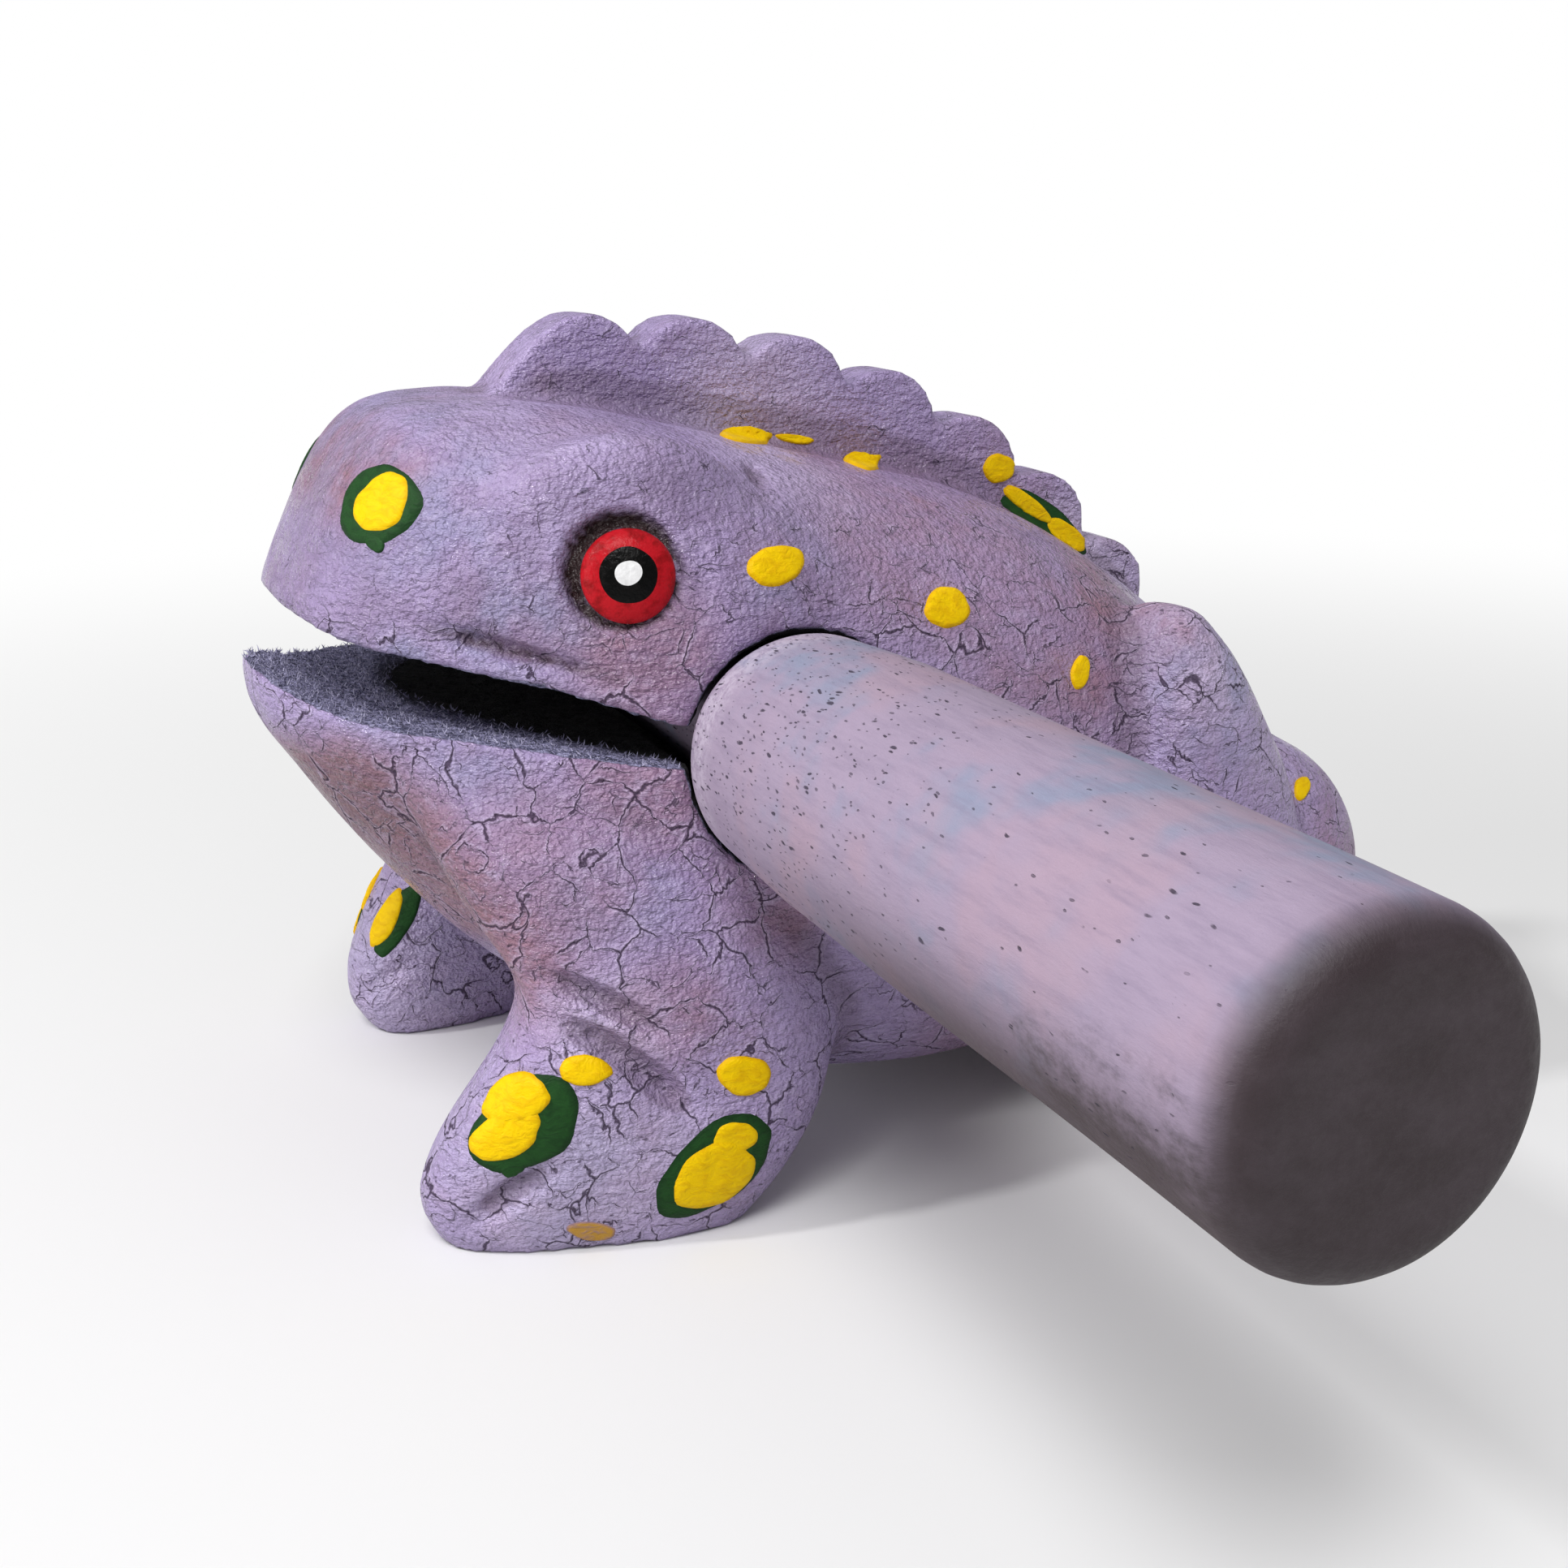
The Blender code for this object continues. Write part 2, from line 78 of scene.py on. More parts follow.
# Places repeated from the part
BORE = (-13.7, 37.12)
BORE_RADIUS = 8.4
SEAT_RADIUS = 9.6
SEAT_FROM = 24.2
MOUTH_GAP = 4.7
MOUTH_RISE = 0.7
MOUTH_SLOPE = 0.145
MOUTH_CURL = 3.2
MOUTH_CURL_FROM = 28
MOUTH_FLARE = 1.6
MOUTH_FLARE_FROM = 20
MOUTH_PINCH = 2
MOUTH_PINCH_TO = 19
EYES = {
    "left": (Vector((23.892, -26.112, 50.943)), Vector((0.9313, -0.2929, 0.2166))),
    "right": (Vector((-23.913, -26.128, 50.928)), Vector((-0.9331, -0.2396, 0.268))),
}

# Painted eye: a domed disc and the wall below it
EYE_RADIUS = 3.42
EYE_DOME = 1.25
EYE_WALL = (0.3, 0.7, 0.5)
EYE_SIDES = 72
PUPIL_RADIUS = 2.05
PUPIL_SHIFT = 0.30
GLINT_RADIUS = 0.93
PAINT_EDGE = 0.02

# Socket round the eye, wider and deeper towards the brow
SOCKET_FROM = 3.55
SOCKET_TO = 4.12
SOCKET_SHIFT = 0.55
SOCKET_DEPTH = 1.5
SOCKET_EASED = (4.9, 5.6)
SOCKET_BLEND = (5.6, 6.6)
SOCKET_LEVEL = (6.2, 8.2)
DISC_SINK = 0.4

# Skin: cell of the mesh, easing of the CAD facets, hand-carved relief
SKIN_CELL = 0.60
SHARP_TURN = (0.035, 0.09)
SHARP_SPREAD = 3
EASE_STEPS = 36
EASE_IN = 0.55
EASE_OUT = -0.50
FACET_DEPTH = 0.09
TORN_DEPTH = 0.20
RELIEF_INSET = 0.10
SAWN_INSET = 0.05
HOLLOW_CURVE = 0.03

# Sawn lips: the mouth turns dark over this depth, from its back to its front: black paint and
# painted shade inside
LIP_LENGTH = 26
LIP_BACK = 3
LIP_FRONT = 19
FIBRE_COUNT = 2600
FIBRE_DEPTH = 0.9
FIBRE_LENGTH = (0.15, 0.6)
FIBRE_HALF_WIDTH = (0.03, 0.07)
FIBRE_SIDES = 3
FIBRE_SEED = 5

# Striker: radii, the length of its head, and its roundings
HEAD_RADIUS = 9.76
SHOULDER_RADIUS = 9.26
SHAFT_RADIUS = 5.46
HEAD_LENGTH = 68
TAPER_LENGTH = 14
END_ROUND = 2.8
SHOULDER_ROUND = 3.4
TIP_ROUND = 2
SANDING_DEPTH = 0.13
LATHE_SIDES = 144

# Dabs of paint
DAB_SIDES = 40
DAB_RINGS = 9
DAB_LIFT = 0.05
DAB_EDGE_SINK = 0.04
GRAZING = 0.12
BLOB_WAVES = ((2, 0.05), (3, 0.04), (5, 0.02), (9, 0.012))

# Carved creases on both sides, seen from the side: points along Y and up Z, half width, darkness,
# which paints a dark line along the crease with painted shade in it
CREASES = (
    (((-39.2, 46.9), (-36.0, 46.0), (-32.9, 45.1), (-27.2, 43.5)), 0.9, 1.0),
    (((-12.4, 57.5), (-13.1, 56.4), (-13.7, 55.2)), 0.9, 0.3),
    (((-34.2, 22.1), (-32.0, 21.1), (-29.1, 19.5), (-25.3, 17.2)), 1.1, 0.35),
    (((-34.0, 18.5), (-30.9, 17.3), (-27.1, 13.9), (-24.3, 10.9)), 1.2, 0.15),
    (((-40.5, 3.1), (-39.4, 4.2), (-37.3, 6.1), (-34.5, 7.8)), 1.0, 0.1),
    (((17.5, 15.0), (22.0, 13.8), (27.0, 11.2)), 1.0, 0.3),
)
CREASE_DEPTH = 0.6

# Paints
LAVENDER = (0.425, 0.33, 0.585)
PALE = (0.60, 0.50, 0.73)
SHADE = (0.21, 0.14, 0.28)
ROSE = (0.33, 0.165, 0.225)
# Rose darkened as painted shade, for under the jaw
SHADED_ROSE = (0.20, 0.095, 0.115)
MAUVE = (0.25, 0.17, 0.30)
BLUE_GREY = (0.29, 0.30, 0.50)
CRACK = (0.045, 0.025, 0.06)
# Painted shade for hollows, also the dark line in the creases
RECESS_SHADE_AND_LINE = (0.10, 0.055, 0.085)
SAWN = (0.40, 0.38, 0.60)
SAWN_DARK = (0.08, 0.08, 0.15)
# Black paint and painted shade inside the mouth and the bore
MOUTH_BLACK_AND_SHADE = (0.002, 0.002, 0.003)
FIBRE_PALE = (0.52, 0.50, 0.68)
FIBRE_DARK = (0.16, 0.15, 0.27)
# Dark stain in the eye sockets, darkened further as painted shade
SOCKET_STAIN_AND_SHADE = (0.040, 0.018, 0.020)
YELLOW = (0.95, 0.62, 0.0)
OCHRE = (0.74, 0.38, 0.0)
THIN_OCHRE = (0.55, 0.30, 0.05)
GREEN = (0.016, 0.07, 0.016)
DARK_GREEN = (0.008, 0.03, 0.01)
RED = (0.50, 0.010, 0.018)
DARK_RED = (0.24, 0.004, 0.006)
BLACK = (0.003, 0.003, 0.003)
WORN_BLACK = (0.008, 0.007, 0.007)
WHITE = (0.88, 0.88, 0.88)
DULL_WHITE = (0.7, 0.7, 0.7)
EYE_RIM = (0.16, 0.12, 0.17)
EYE_RIM_DARK = (0.06, 0.03, 0.04)
STRIKER = (0.36, 0.285, 0.395)
STRIKER_BLUE = (0.26, 0.28, 0.40)
STRIKER_ROSE = (0.40, 0.285, 0.37)
STRIKER_PALE = (0.62, 0.55, 0.66)
# Painted shade for the striker's underside
STRIKER_UNDERSIDE_SHADE = (0.07, 0.047, 0.055)
STRIKER_GRAIN = (0.20, 0.16, 0.25)
STRIKER_END = (0.030, 0.017, 0.022)
END_RING = (0.050, 0.034, 0.043)
# Soot on the striker, partly dirt and partly painted shade
SOOT_AND_SHADE = (0.05, 0.042, 0.05)
PORE = (0.03, 0.02, 0.045)

# Patterns, in repeats per millimetre
PLATES_PER_MM = 0.215
PLATE_OPENING_PER_MM = 0.30
SHORT_CRACKS_PER_MM = 0.62
CRACK_GATES_PER_MM = 0.55
PITS_PER_MM = 1.3
CLOUDS_PER_MM = 0.085
MOTTLE_PER_MM = 0.28
BLUE_PATCHES_PER_MM = 0.2
SPECKS_PER_MM = 0.9
STREAKS_PER_MM = 1.0
SAWN_FIBRES_PER_MM = 1.1
FUZZ_PER_MM = 3.0
SKIN_GRAIN_PER_MM = 1.1
SKIN_FINE_PER_MM = 2.0
GLOSS_PER_MM = 0.30
STRIKER_CLOUDS_PER_MM = 0.075
STRIKER_ROSE_PER_MM = 0.10
STRIKER_DUST_PER_MM = 1.6
STRIKER_GRAIN_PER_MM = 1.0
STRIKER_FINE_PER_MM = 1.6
STRIKER_SOOT_AND_SHADE_PER_MM = 0.28
LONG_PORES_PER_MM = 0.84
SHORT_PORES_PER_MM = 1.20
END_RINGS_PER_MM = 0.5
BRUSH_PER_MM = 0.9
DAB_FINE_PER_MM = 3.5
EYE_BRUSH_PER_MM = 1.1
EYE_FINE_PER_MM = 3.0
FIBRE_TONES_PER_MM = 1.4
FIBRE_FINE_PER_MM = 4.0

# How those patterns are squeezed along X, Y and Z: more than 1 makes them finer that way
SHORT_CRACK_SQUEEZE = (0.62, 0.62, 1.15)
PIT_SQUEEZE = (0.7, 0.7, 1.7)
STREAK_SQUEEZE = (0.35, 0.2, 1.6)
SAWN_SQUEEZE = (2.2, 1.0, 2.2)
SKIN_GRAIN_SQUEEZE = (0.8, 0.7, 1.5)
STRIKER_GRAIN_SQUEEZE = (0.16, 1.2, 1.2)
STRIKER_FINE_SQUEEZE = (0.5, 2.0, 2.0)
STRIKER_SOOT_AND_SHADE_SQUEEZE = (0.6, 1.0, 1.0)
STRIKER_ROSE_SHIFT = (40, 7, 3)
LONG_PORE_SQUEEZE = (0.62, 2.5, 2.5)
SHORT_PORE_SQUEEZE = (0.9, 2.6, 2.6)
END_RING_SQUEEZE = (1.0, 0.3, 0.5)
BRUSH_SQUEEZE = (1.0, 1.0, 2.5)
FIBRE_SQUEEZE = (3.0, 1.0, 3.0)

# Wandering of the patterns: repeats per millimetre, reach in millimetres
PLATE_DRIFTS = ((0.16, 5.0), (0.8, 1.0), (2.6, 0.30))
PIT_DRIFT = (1.1, 0.8)
PORE_DRIFT = (0.5, 0.9)
BRUSH_DRIFT = (0.5, 2.0)

# Widths of the cracks and pores, in cells of their pattern
PLATE_CRACK = (0.0005, 0.021)
SHORT_CRACK = (0.036, 0.022)
HAIR_CRACK = 0.0006
PIT_WIDTH = (0.26, 0.14)
LONG_PORE = (0.12, 0.27)
SHORT_PORE = (0.15, 0.30)

# Strengths
SHORT_CRACK_SHARE = 0.85
SHORT_EDGE_SHARE = 0.7
SHORT_PORE_SHARE = 0.7
PIT_SHARE = 0.8
CALM_SHARE = 0.12
# Painted highlight on the raised edges of the cracks
CRACK_EDGE_HIGHLIGHT = 0.30
CREASE_LINE_AND_SHADE = 0.85
CRACK_DARK = 0.90
PORE_DARK = 0.88
PORE_SPREAD = 0.70
# Strength of the painted shade on the striker's underside
UNDERSIDE_SHADE_STRENGTH = 0.95
BAND_DUST = 0.5
SAWN_RAGGED = 0.9
DEPTH_RAGGED = 0.35
GRAIN_LIFT = 0.80
FINE_LIFT = 0.20
CRACK_SINK = 0.20
EDGE_LIFT = 0.09
FUZZ_LIFT = 0.9

# Depth of each material's bump, and the range of its roughness
SKIN_BUMP = 0.62
SKIN_ROUGH = (0.16, 0.42)
STRIKER_BUMP = 0.13
STRIKER_ROUGH = (0.66, 0.80)
DAB_BUMP = 0.18
DAB_ROUGH_SPREAD = 0.14
DAB_SPECULAR = 0.12
EYE_BUMP = 0.07
EYE_ROUGH = (0.16, 0.30)
EYE_SPECULAR = 0.10
FIBRE_BUMP = 0.03
FIBRE_ROUGH = 0.85

# Stage, in metres: name, place, size and power of each light
LIGHTS = (
    ("key", (0.34, -0.26, 0.64), 0.28, 3.1),
    ("fill", (0.02, -0.60, 0.16), 0.30, 0.9),
    ("spark", (-0.08, -0.56, 0.54), 0.06, 1.7),
)
LIGHT_AIM = Vector((0, 0, 0.035))
FLOOR_HALF = 3.0
FLOOR_FADE = (0.07, 0.34)
FLOOR_ROUGH = 0.9
FLOOR = (0.86, 0.86, 0.86)
FLOOR_BOUNCE = (0.62, 0.62, 0.62)
SKY_LOW = 0.20
SKY_HIGH = 0.46

# Dabs: pixel in the photograph, half length and width in pixels, turn in degrees, seed, thickness
GREEN_DABS = (
    (463, 620, 56, 48, 58, 1, 0.12),
    (462, 668, 14, 11, -60, 7, 0.10),
    (893, 539, 54, 12, -10, 2, 0.10),
    (1285, 643, 66, 22, -38, 3, 0.10),
    (643, 1387, 76, 62, 35, 4, 0.12),
    (632, 1436, 18, 14, 60, 8, 0.10),
    (882, 1439, 90, 46, 35, 5, 0.12),
    (488, 1134, 52, 20, 62, 6, 0.10),
)
YELLOW_DABS = (
    (470, 619, 43, 32, 60, 11, 0.30),
    (957, 696, 36, 26, 8, 12, 0.26),
    (1167, 748, 29, 26, 25, 13, 0.26),
    (1331, 828, 21, 12, 80, 14, 0.22),
    (915, 541, 32, 9, -10, 15, 0.24),
    (979, 541, 24, 6, -6, 16, 0.18),
    (1061, 572, 23, 11, -18, 17, 0.22),
    (1231, 577, 21, 18, 30, 18, 0.20),
    (1266, 622, 36, 12, -38, 19, 0.26),
    (1312, 660, 32, 15, -42, 20, 0.26),
    (1604, 971, 15, 10, 80, 21, 0.22),
    (634, 1354, 46, 33, 5, 22, 0.34),
    (622, 1398, 53, 30, 20, 32, 0.30),
    (723, 1318, 37, 20, 10, 23, 0.24),
    (917, 1325, 33, 26, -10, 24, 0.26),
    (880, 1448, 62, 37, 32, 25, 0.32),
    (905, 1402, 29, 22, 20, 26, 0.22),
    (476, 1132, 42, 14, 62, 27, 0.22),
)
WORN_DABS = ((729, 1517, 31, 12, -4, 28, 0.08),)

# Dabs on the far front foot, by their pixel column, have no twin on the other side
ONE_SIDE_ONLY = (488, 476)

# Tints on the skin: centre along Y and up Z on both sides, radius, strength
ROSE_TINTS = (
    (-2, 51, 9, 0.5),
    (6, 47, 10, 0.5),
    (8, 40, 10, 0.5),
    (18, 44.5, 6, 0.8),
    (-46, 33, 5.5, 1.0),
    (-42, 28, 7, 1.0),
    (-38, 23, 7, 1.0),
    (-43, 58, 5, 0.8),
    (-33, 29, 8, 0.5),
    (-25, 36, 7, 0.6),
    (-26, 19, 5, 0.4),
    (-25, 46, 6, 0.6),
    (40, 16, 9, 0.5),
    (10, 14, 14, 0.9),
    (-16, 28, 7, 0.5),
)
# Darker mauve on the sides of the head, round the eyes and under the brow: partly the paint's own
# tone, partly painted shade
MAUVE_AND_SHADE_TINTS = (
    (-27, 44, 8, 0.9),
    (-22, 55, 7, 0.6),
    (-14, 50, 8, 0.8),
    (-23, 36, 8, 0.7),
    (-27, 34, 7, 0.6),
    (-24, 21, 6, 0.4),
    (-44, 50, 9, 0.6),
    (-34, 56, 8, 0.45),
    (-34, 49, 6, 0.95),
    (-36, 34, 6, 0.6),
    (-35, 27, 6, 0.65),
)
# Darker rose under the jaw: the pink paint there, darkened as painted shade
SHADED_ROSE_TINTS = (
    (-44, 32, 6, 0.8),
    (-41, 27, 5, 0.5),
)
# Lighter patches on the haunch, the crown and the front feet: partly the paint's own tone, partly
# painted light
PALE_AND_LIT_TINTS = (
    (24, 43, 9, 0.95),
    (32, 35, 9, 0.5),
    (-30, 60, 9, 0.2),
    (-8, 60, 8, 0.7),
    (-34, 6, 9, 0.8),
    (-28, 7, 7, 0.6),
    (-30, 18, 5, 0.7),
)
BLUE_TINTS = (
    (-38, 56, 8, 0.5),
    (-34, 48, 6, 0.6),
    (-42, 42.5, 5, 0.8),
    (-36, 38, 5, 0.5),
    (22, 38, 7, 0.6),
    (-34, 6, 9, 0.3),
    (-14, 50, 5, 0.4),
    (-28, 28, 5, 0.4),
)
TINTS = {
    "rose": ROSE_TINTS,
    "mauve_and_shade": MAUVE_AND_SHADE_TINTS,
    "pale_and_lit": PALE_AND_LIT_TINTS,
    "blue": BLUE_TINTS,
    "rose_in_shade": SHADED_ROSE_TINTS,
}


def to_frame(point):
    """A place on the frog in millimetres, in the frame's metres."""
    return (Vector(point) + OFFSET) * MM


def camera_matrix():
    a, e = CAMERA_AZIMUTH, CAMERA_ELEVATION
    back = Vector((math.sin(a) * math.cos(e), -math.cos(a) * math.cos(e), math.sin(e)))
    turn = back.to_track_quat("Z", "Y").to_matrix().to_4x4()
    return Matrix.Translation(to_frame(CAMERA_AT)) @ turn @ Matrix.Rotation(-CAMERA_ROLL, 4, "Z")


def add_camera():
    data = bpy.data.cameras.new("camera")
    data.sensor_width = SENSOR_WIDTH
    data.lens = SENSOR_WIDTH * FOCAL_PIXELS / IMAGE_SIZE
    data.clip_start = CLIP_START
    camera = bpy.data.objects.new("camera", data)
    bpy.context.scene.collection.objects.link(camera)
    camera.matrix_world = camera_matrix()
    bpy.context.scene.camera = camera


def pixel_ray(x, y):
    """Start and direction of the line through a pixel of the photograph."""
    half = IMAGE_SIZE / 2
    matrix = camera_matrix()
    away = Vector(((x - half) / FOCAL_PIXELS, (half - y) / FOCAL_PIXELS, -1))
    return matrix.translation, (matrix.to_3x3() @ away).normalized()


def link(name, mesh):
    obj = bpy.data.objects.new(name, mesh)
    bpy.context.scene.collection.objects.link(obj)
    return obj


# Material helpers


class Nodes:
    """Builds one material's nodes. Sockets and plain values can be mixed in every call."""

    def __init__(self, name):
        self.material = bpy.data.materials.new(name)
        self.material.use_nodes = True
        self.tree = self.material.node_tree
        self.shader = self.tree.nodes["Principled BSDF"]

    def set(self, socket, value):
        if isinstance(value, bpy.types.NodeSocket):
            self.tree.links.new(value, socket)
        elif isinstance(value, tuple) and len(value) == 3 and socket.type == "RGBA":
            socket.default_value = (*value, 1)
        else:
            socket.default_value = value

    def add(self, kind, inputs=(), **settings):
        node = self.tree.nodes.new(kind)
        for key, value in settings.items():
            setattr(node, key, value)
        for key, value in dict(inputs).items():
            self.set(node.inputs[key], value)
        return node

    def math(self, operation, a, b=0.0, clamp=False):
        node = self.add("ShaderNodeMath", {0: a, 1: b}, operation=operation, use_clamp=clamp)
        return node.outputs[0]

    def vector(self, operation, a, b):
        node = self.add("ShaderNodeVectorMath", {0: a, 1: b}, operation=operation)
        return node.outputs[0]

    def squeeze(self, place, factors):
        return self.vector("MULTIPLY", place, factors)

    def mix(self, factor, a, b):
        node = self.add("ShaderNodeMix", {0: factor, 6: a, 7: b}, data_type="RGBA")
        return node.outputs[2]

    def ramp(self, value, low, high, out_low=0.0, out_high=1.0):
        limits = {"From Min": low, "From Max": high, "To Min": out_low, "To Max": out_high}
        node = self.add(
            "ShaderNodeMapRange",
            {"Value": value, **limits},
            interpolation_type="SMOOTHSTEP",
        )
        return node.outputs[0]

    def noise(self, place, scale, detail=2.0, roughness=0.5):
        node = self.add(
            "ShaderNodeTexNoise",
            {"Vector": place, "Scale": scale, "Detail": detail, "Roughness": roughness},
        )
        return node.outputs["Fac"]

    def drift(self, place, scale, reach):
        """The place, moved by up to half the reach in each direction."""
        node = self.add("ShaderNodeTexNoise", {"Vector": place, "Scale": scale, "Detail": 2.0})
        moved = self.vector("SUBTRACT", node.outputs["Color"], (0.5, 0.5, 0.5))
        return self.vector("ADD", place, self.squeeze(moved, (reach, reach, reach)))

    def voronoi(self, place, scale, feature):
        return self.add("ShaderNodeTexVoronoi", {"Vector": place, "Scale": scale}, feature=feature)

    def millimetres(self):
        place = self.add("ShaderNodeTexCoord").outputs["Object"]
        return self.squeeze(place, (1 / MM, 1 / MM, 1 / MM))

    def attribute(self, name):
        return self.add("ShaderNodeAttribute", attribute_name=name).outputs["Fac"]

    def bump(self, height, depth):
        return self.add("ShaderNodeBump", {"Height": height, "Distance": depth * MM}).outputs[0]

    def finish(self, **sockets):
        for name, value in sockets.items():
            self.set(self.shader.inputs[name.replace("_", " ")], value)
        return self.material


def crackle_paint():
    n = Nodes("crackle_paint")
    place = n.millimetres()
    loose = place
    for scale, reach in PLATE_DRIFTS:
        loose = n.drift(loose, scale, reach)
    plates, hollow = n.attribute("plates"), n.attribute("hollow")

    def cracks(at, scale, opening):
        """How far open a crack is here, and how near its raised edge."""
        cell = n.voronoi(at, scale, "DISTANCE_TO_EDGE").outputs["Distance"]
        ratio = n.math("DIVIDE", cell, opening)
        gap = n.ramp(ratio, 1.1, 0.35)
        edge = n.math("MULTIPLY", n.ramp(ratio, 0.9, 1.6), n.ramp(ratio, 5.0, 2.0))
        return gap, edge

    # Large plates, with cracks that open and close along their length
    opening = n.noise(place, PLATE_OPENING_PER_MM, 3.0, 0.6)
    large = n.ramp(opening, 0.42, 0.62, *PLATE_CRACK)
    large = n.math("MULTIPLY", large, n.ramp(plates, 0.2, 0.8, 0.04, 1.0))
    large_gap, large_edge = cracks(loose, PLATES_PER_MM, large)

    # Short cracks along the grain
    flat = n.squeeze(loose, SHORT_CRACK_SQUEEZE)
    calm = n.math("MULTIPLY", n.attribute("calm"), CALM_SHARE)
    gate = n.math("SUBTRACT", n.noise(flat, CRACK_GATES_PER_MM, 3.0, 0.6), calm)
    gate = n.ramp(gate, 0.52, 0.66)
    small = n.math("MULTIPLY", gate, n.ramp(plates, 0.0, 1.0, *SHORT_CRACK))
    small = n.math("ADD", HAIR_CRACK, small)
    small_gap, small_edge = cracks(flat, SHORT_CRACKS_PER_MM, small)

    # Pits where the paint skipped the pores
    pores = n.squeeze(n.drift(place, *PIT_DRIFT), PIT_SQUEEZE)
    pit = n.voronoi(pores, PITS_PER_MM, "F1")
    pick = n.add("ShaderNodeSeparateColor", {0: pit.outputs["Color"]}).outputs[0]
    pit = n.ramp(pit.outputs["Distance"], *PIT_WIDTH)
    pit = n.math("MULTIPLY", pit, n.ramp(pick, 0.62, 0.66))
    pit = n.math("MULTIPLY", pit, n.attribute("pitted"))

    gap = n.math("MAXIMUM", large_gap, n.math("MULTIPLY", small_gap, SHORT_CRACK_SHARE))
    edge = n.math("MAXIMUM", large_edge, n.math("MULTIPLY", small_edge, SHORT_EDGE_SHARE))
    dark = n.math("MAXIMUM", gap, n.math("MULTIPLY", pit, PIT_SHARE))

    # Tone of the paint
    cloud = n.noise(place, CLOUDS_PER_MM, 4.0, 0.6)
    rose = n.math("ADD", n.attribute("rose"), n.ramp(cloud, 0.50, 0.80, 0.0, 0.5), clamp=True)
    mottle = n.noise(place, MOTTLE_PER_MM, 4.0, 0.65)
    rose = n.math("MULTIPLY", rose, n.ramp(mottle, 0.25, 0.6, 0.6, 1.0))
    # Mauve on the sides of the head, partly painted shade
    mauve_and_shade = n.math("MULTIPLY", n.attribute("mauve_and_shade"), n.ramp(mottle, 0.7, 0.35, 0.45, 1.0))
    patches = n.ramp(n.noise(place, BLUE_PATCHES_PER_MM, 3.0), 0.35, 0.65)
    blue = n.math("MULTIPLY", n.attribute("blue"), patches)
    # Lighter patches, partly painted light on the haunch and the feet
    colour = n.mix(n.attribute("pale_and_lit"), LAVENDER, PALE)
    colour = n.mix(mauve_and_shade, colour, MAUVE)
    colour = n.mix(rose, colour, ROSE)
    # Rose under the jaw, darkened as painted shade
    colour = n.mix(n.attribute("rose_in_shade"), colour, SHADED_ROSE)
    colour = n.mix(blue, colour, BLUE_GREY)
    streak = n.noise(n.squeeze(place, STREAK_SQUEEZE), STREAKS_PER_MM, 4.0, 0.65)
    colour = n.mix(n.ramp(streak, 0.38, 0.75, 0.0, 0.35), colour, SHADE)
    specks = n.noise(place, SPECKS_PER_MM, 3.0, 0.6)
    colour = n.mix(n.ramp(specks, 0.48, 0.75, 0.0, 0.25), colour, PALE)
    # Painted highlight: the raised edges of the cracks lightened towards pale
    colour = n.mix(n.math("MULTIPLY", edge, CRACK_EDGE_HIGHLIGHT), colour, PALE)
    # Painted shade in the hollows between carved forms
    colour = n.mix(n.ramp(hollow, 0.25, 1.0, 0.0, 0.4), colour, RECESS_SHADE_AND_LINE)
    # Creases: a dark line along each, with painted shade in it, strongest at the lip line
    colour = n.mix(n.math("MULTIPLY", n.attribute("groove"), CREASE_LINE_AND_SHADE), colour, RECESS_SHADE_AND_LINE)
    colour = n.mix(n.math("MULTIPLY", dark, CRACK_DARK), colour, CRACK)
    # Dark stain in the eye sockets, darkened further as painted shade
    colour = n.mix(n.attribute("socket"), colour, SOCKET_STAIN_AND_SHADE)

    # Sawn wood in the mouth, turning black further in as black paint and painted shade, with a
    # ragged edge to the paint
    fibre = n.noise(n.squeeze(place, SAWN_SQUEEZE), SAWN_FIBRES_PER_MM, 4.0, 0.8)
    sawn = n.mix(n.ramp(fibre, 0.40, 0.60), SAWN_DARK, SAWN)
    uneven = n.math("SUBTRACT", fibre, 0.5)
    depth = n.math("ADD", n.attribute("deep"), n.math("MULTIPLY", uneven, DEPTH_RAGGED))
    sawn = n.mix(n.ramp(depth, 0.62, 0.95), sawn, MOUTH_BLACK_AND_SHADE)
    torn = n.math("MULTIPLY", n.math("SUBTRACT", SAWN_RAGGED, n.attribute("bored")), uneven)
    sawn_mask = n.ramp(n.math("ADD", n.attribute("bare"), torn), 0.40, 0.60)
    colour = n.mix(sawn_mask, colour, sawn)

    # Relief: leathery varnish over the grain, then what is cracked or pitted
    grain = n.noise(n.squeeze(place, SKIN_GRAIN_SQUEEZE), SKIN_GRAIN_PER_MM, 3.0, 0.74)
    fine = n.ramp(n.noise(place, SKIN_FINE_PER_MM, 1.0, 0.6), 0.30, 0.70)
    relief = n.math("MULTIPLY", grain, GRAIN_LIFT)
    relief = n.math("ADD", relief, n.math("MULTIPLY", fine, FINE_LIFT))
    relief = n.math("SUBTRACT", relief, n.math("MULTIPLY", gap, CRACK_SINK))
    relief = n.math("ADD", relief, n.math("MULTIPLY", edge, EDGE_LIFT))
    fuzz = n.noise(place, FUZZ_PER_MM, 2.0, 0.8)
    fuzz = n.math("MULTIPLY", fuzz, n.math("MULTIPLY", sawn_mask, FUZZ_LIFT))
    normal = n.bump(n.math("ADD", relief, fuzz), SKIN_BUMP)

    gloss = n.noise(place, GLOSS_PER_MM, 3.0, 0.6)
    rough = n.ramp(gloss, 0.38, 0.60, *SKIN_ROUGH)
    rough = n.math("SUBTRACT", rough, n.math("MULTIPLY", edge, 0.10))
    rough = n.math("MAXIMUM", rough, n.math("MULTIPLY", n.math("MAXIMUM", dark, sawn_mask), 0.95))
    return n.finish(Base_Color=colour, Roughness=rough, Normal=normal)


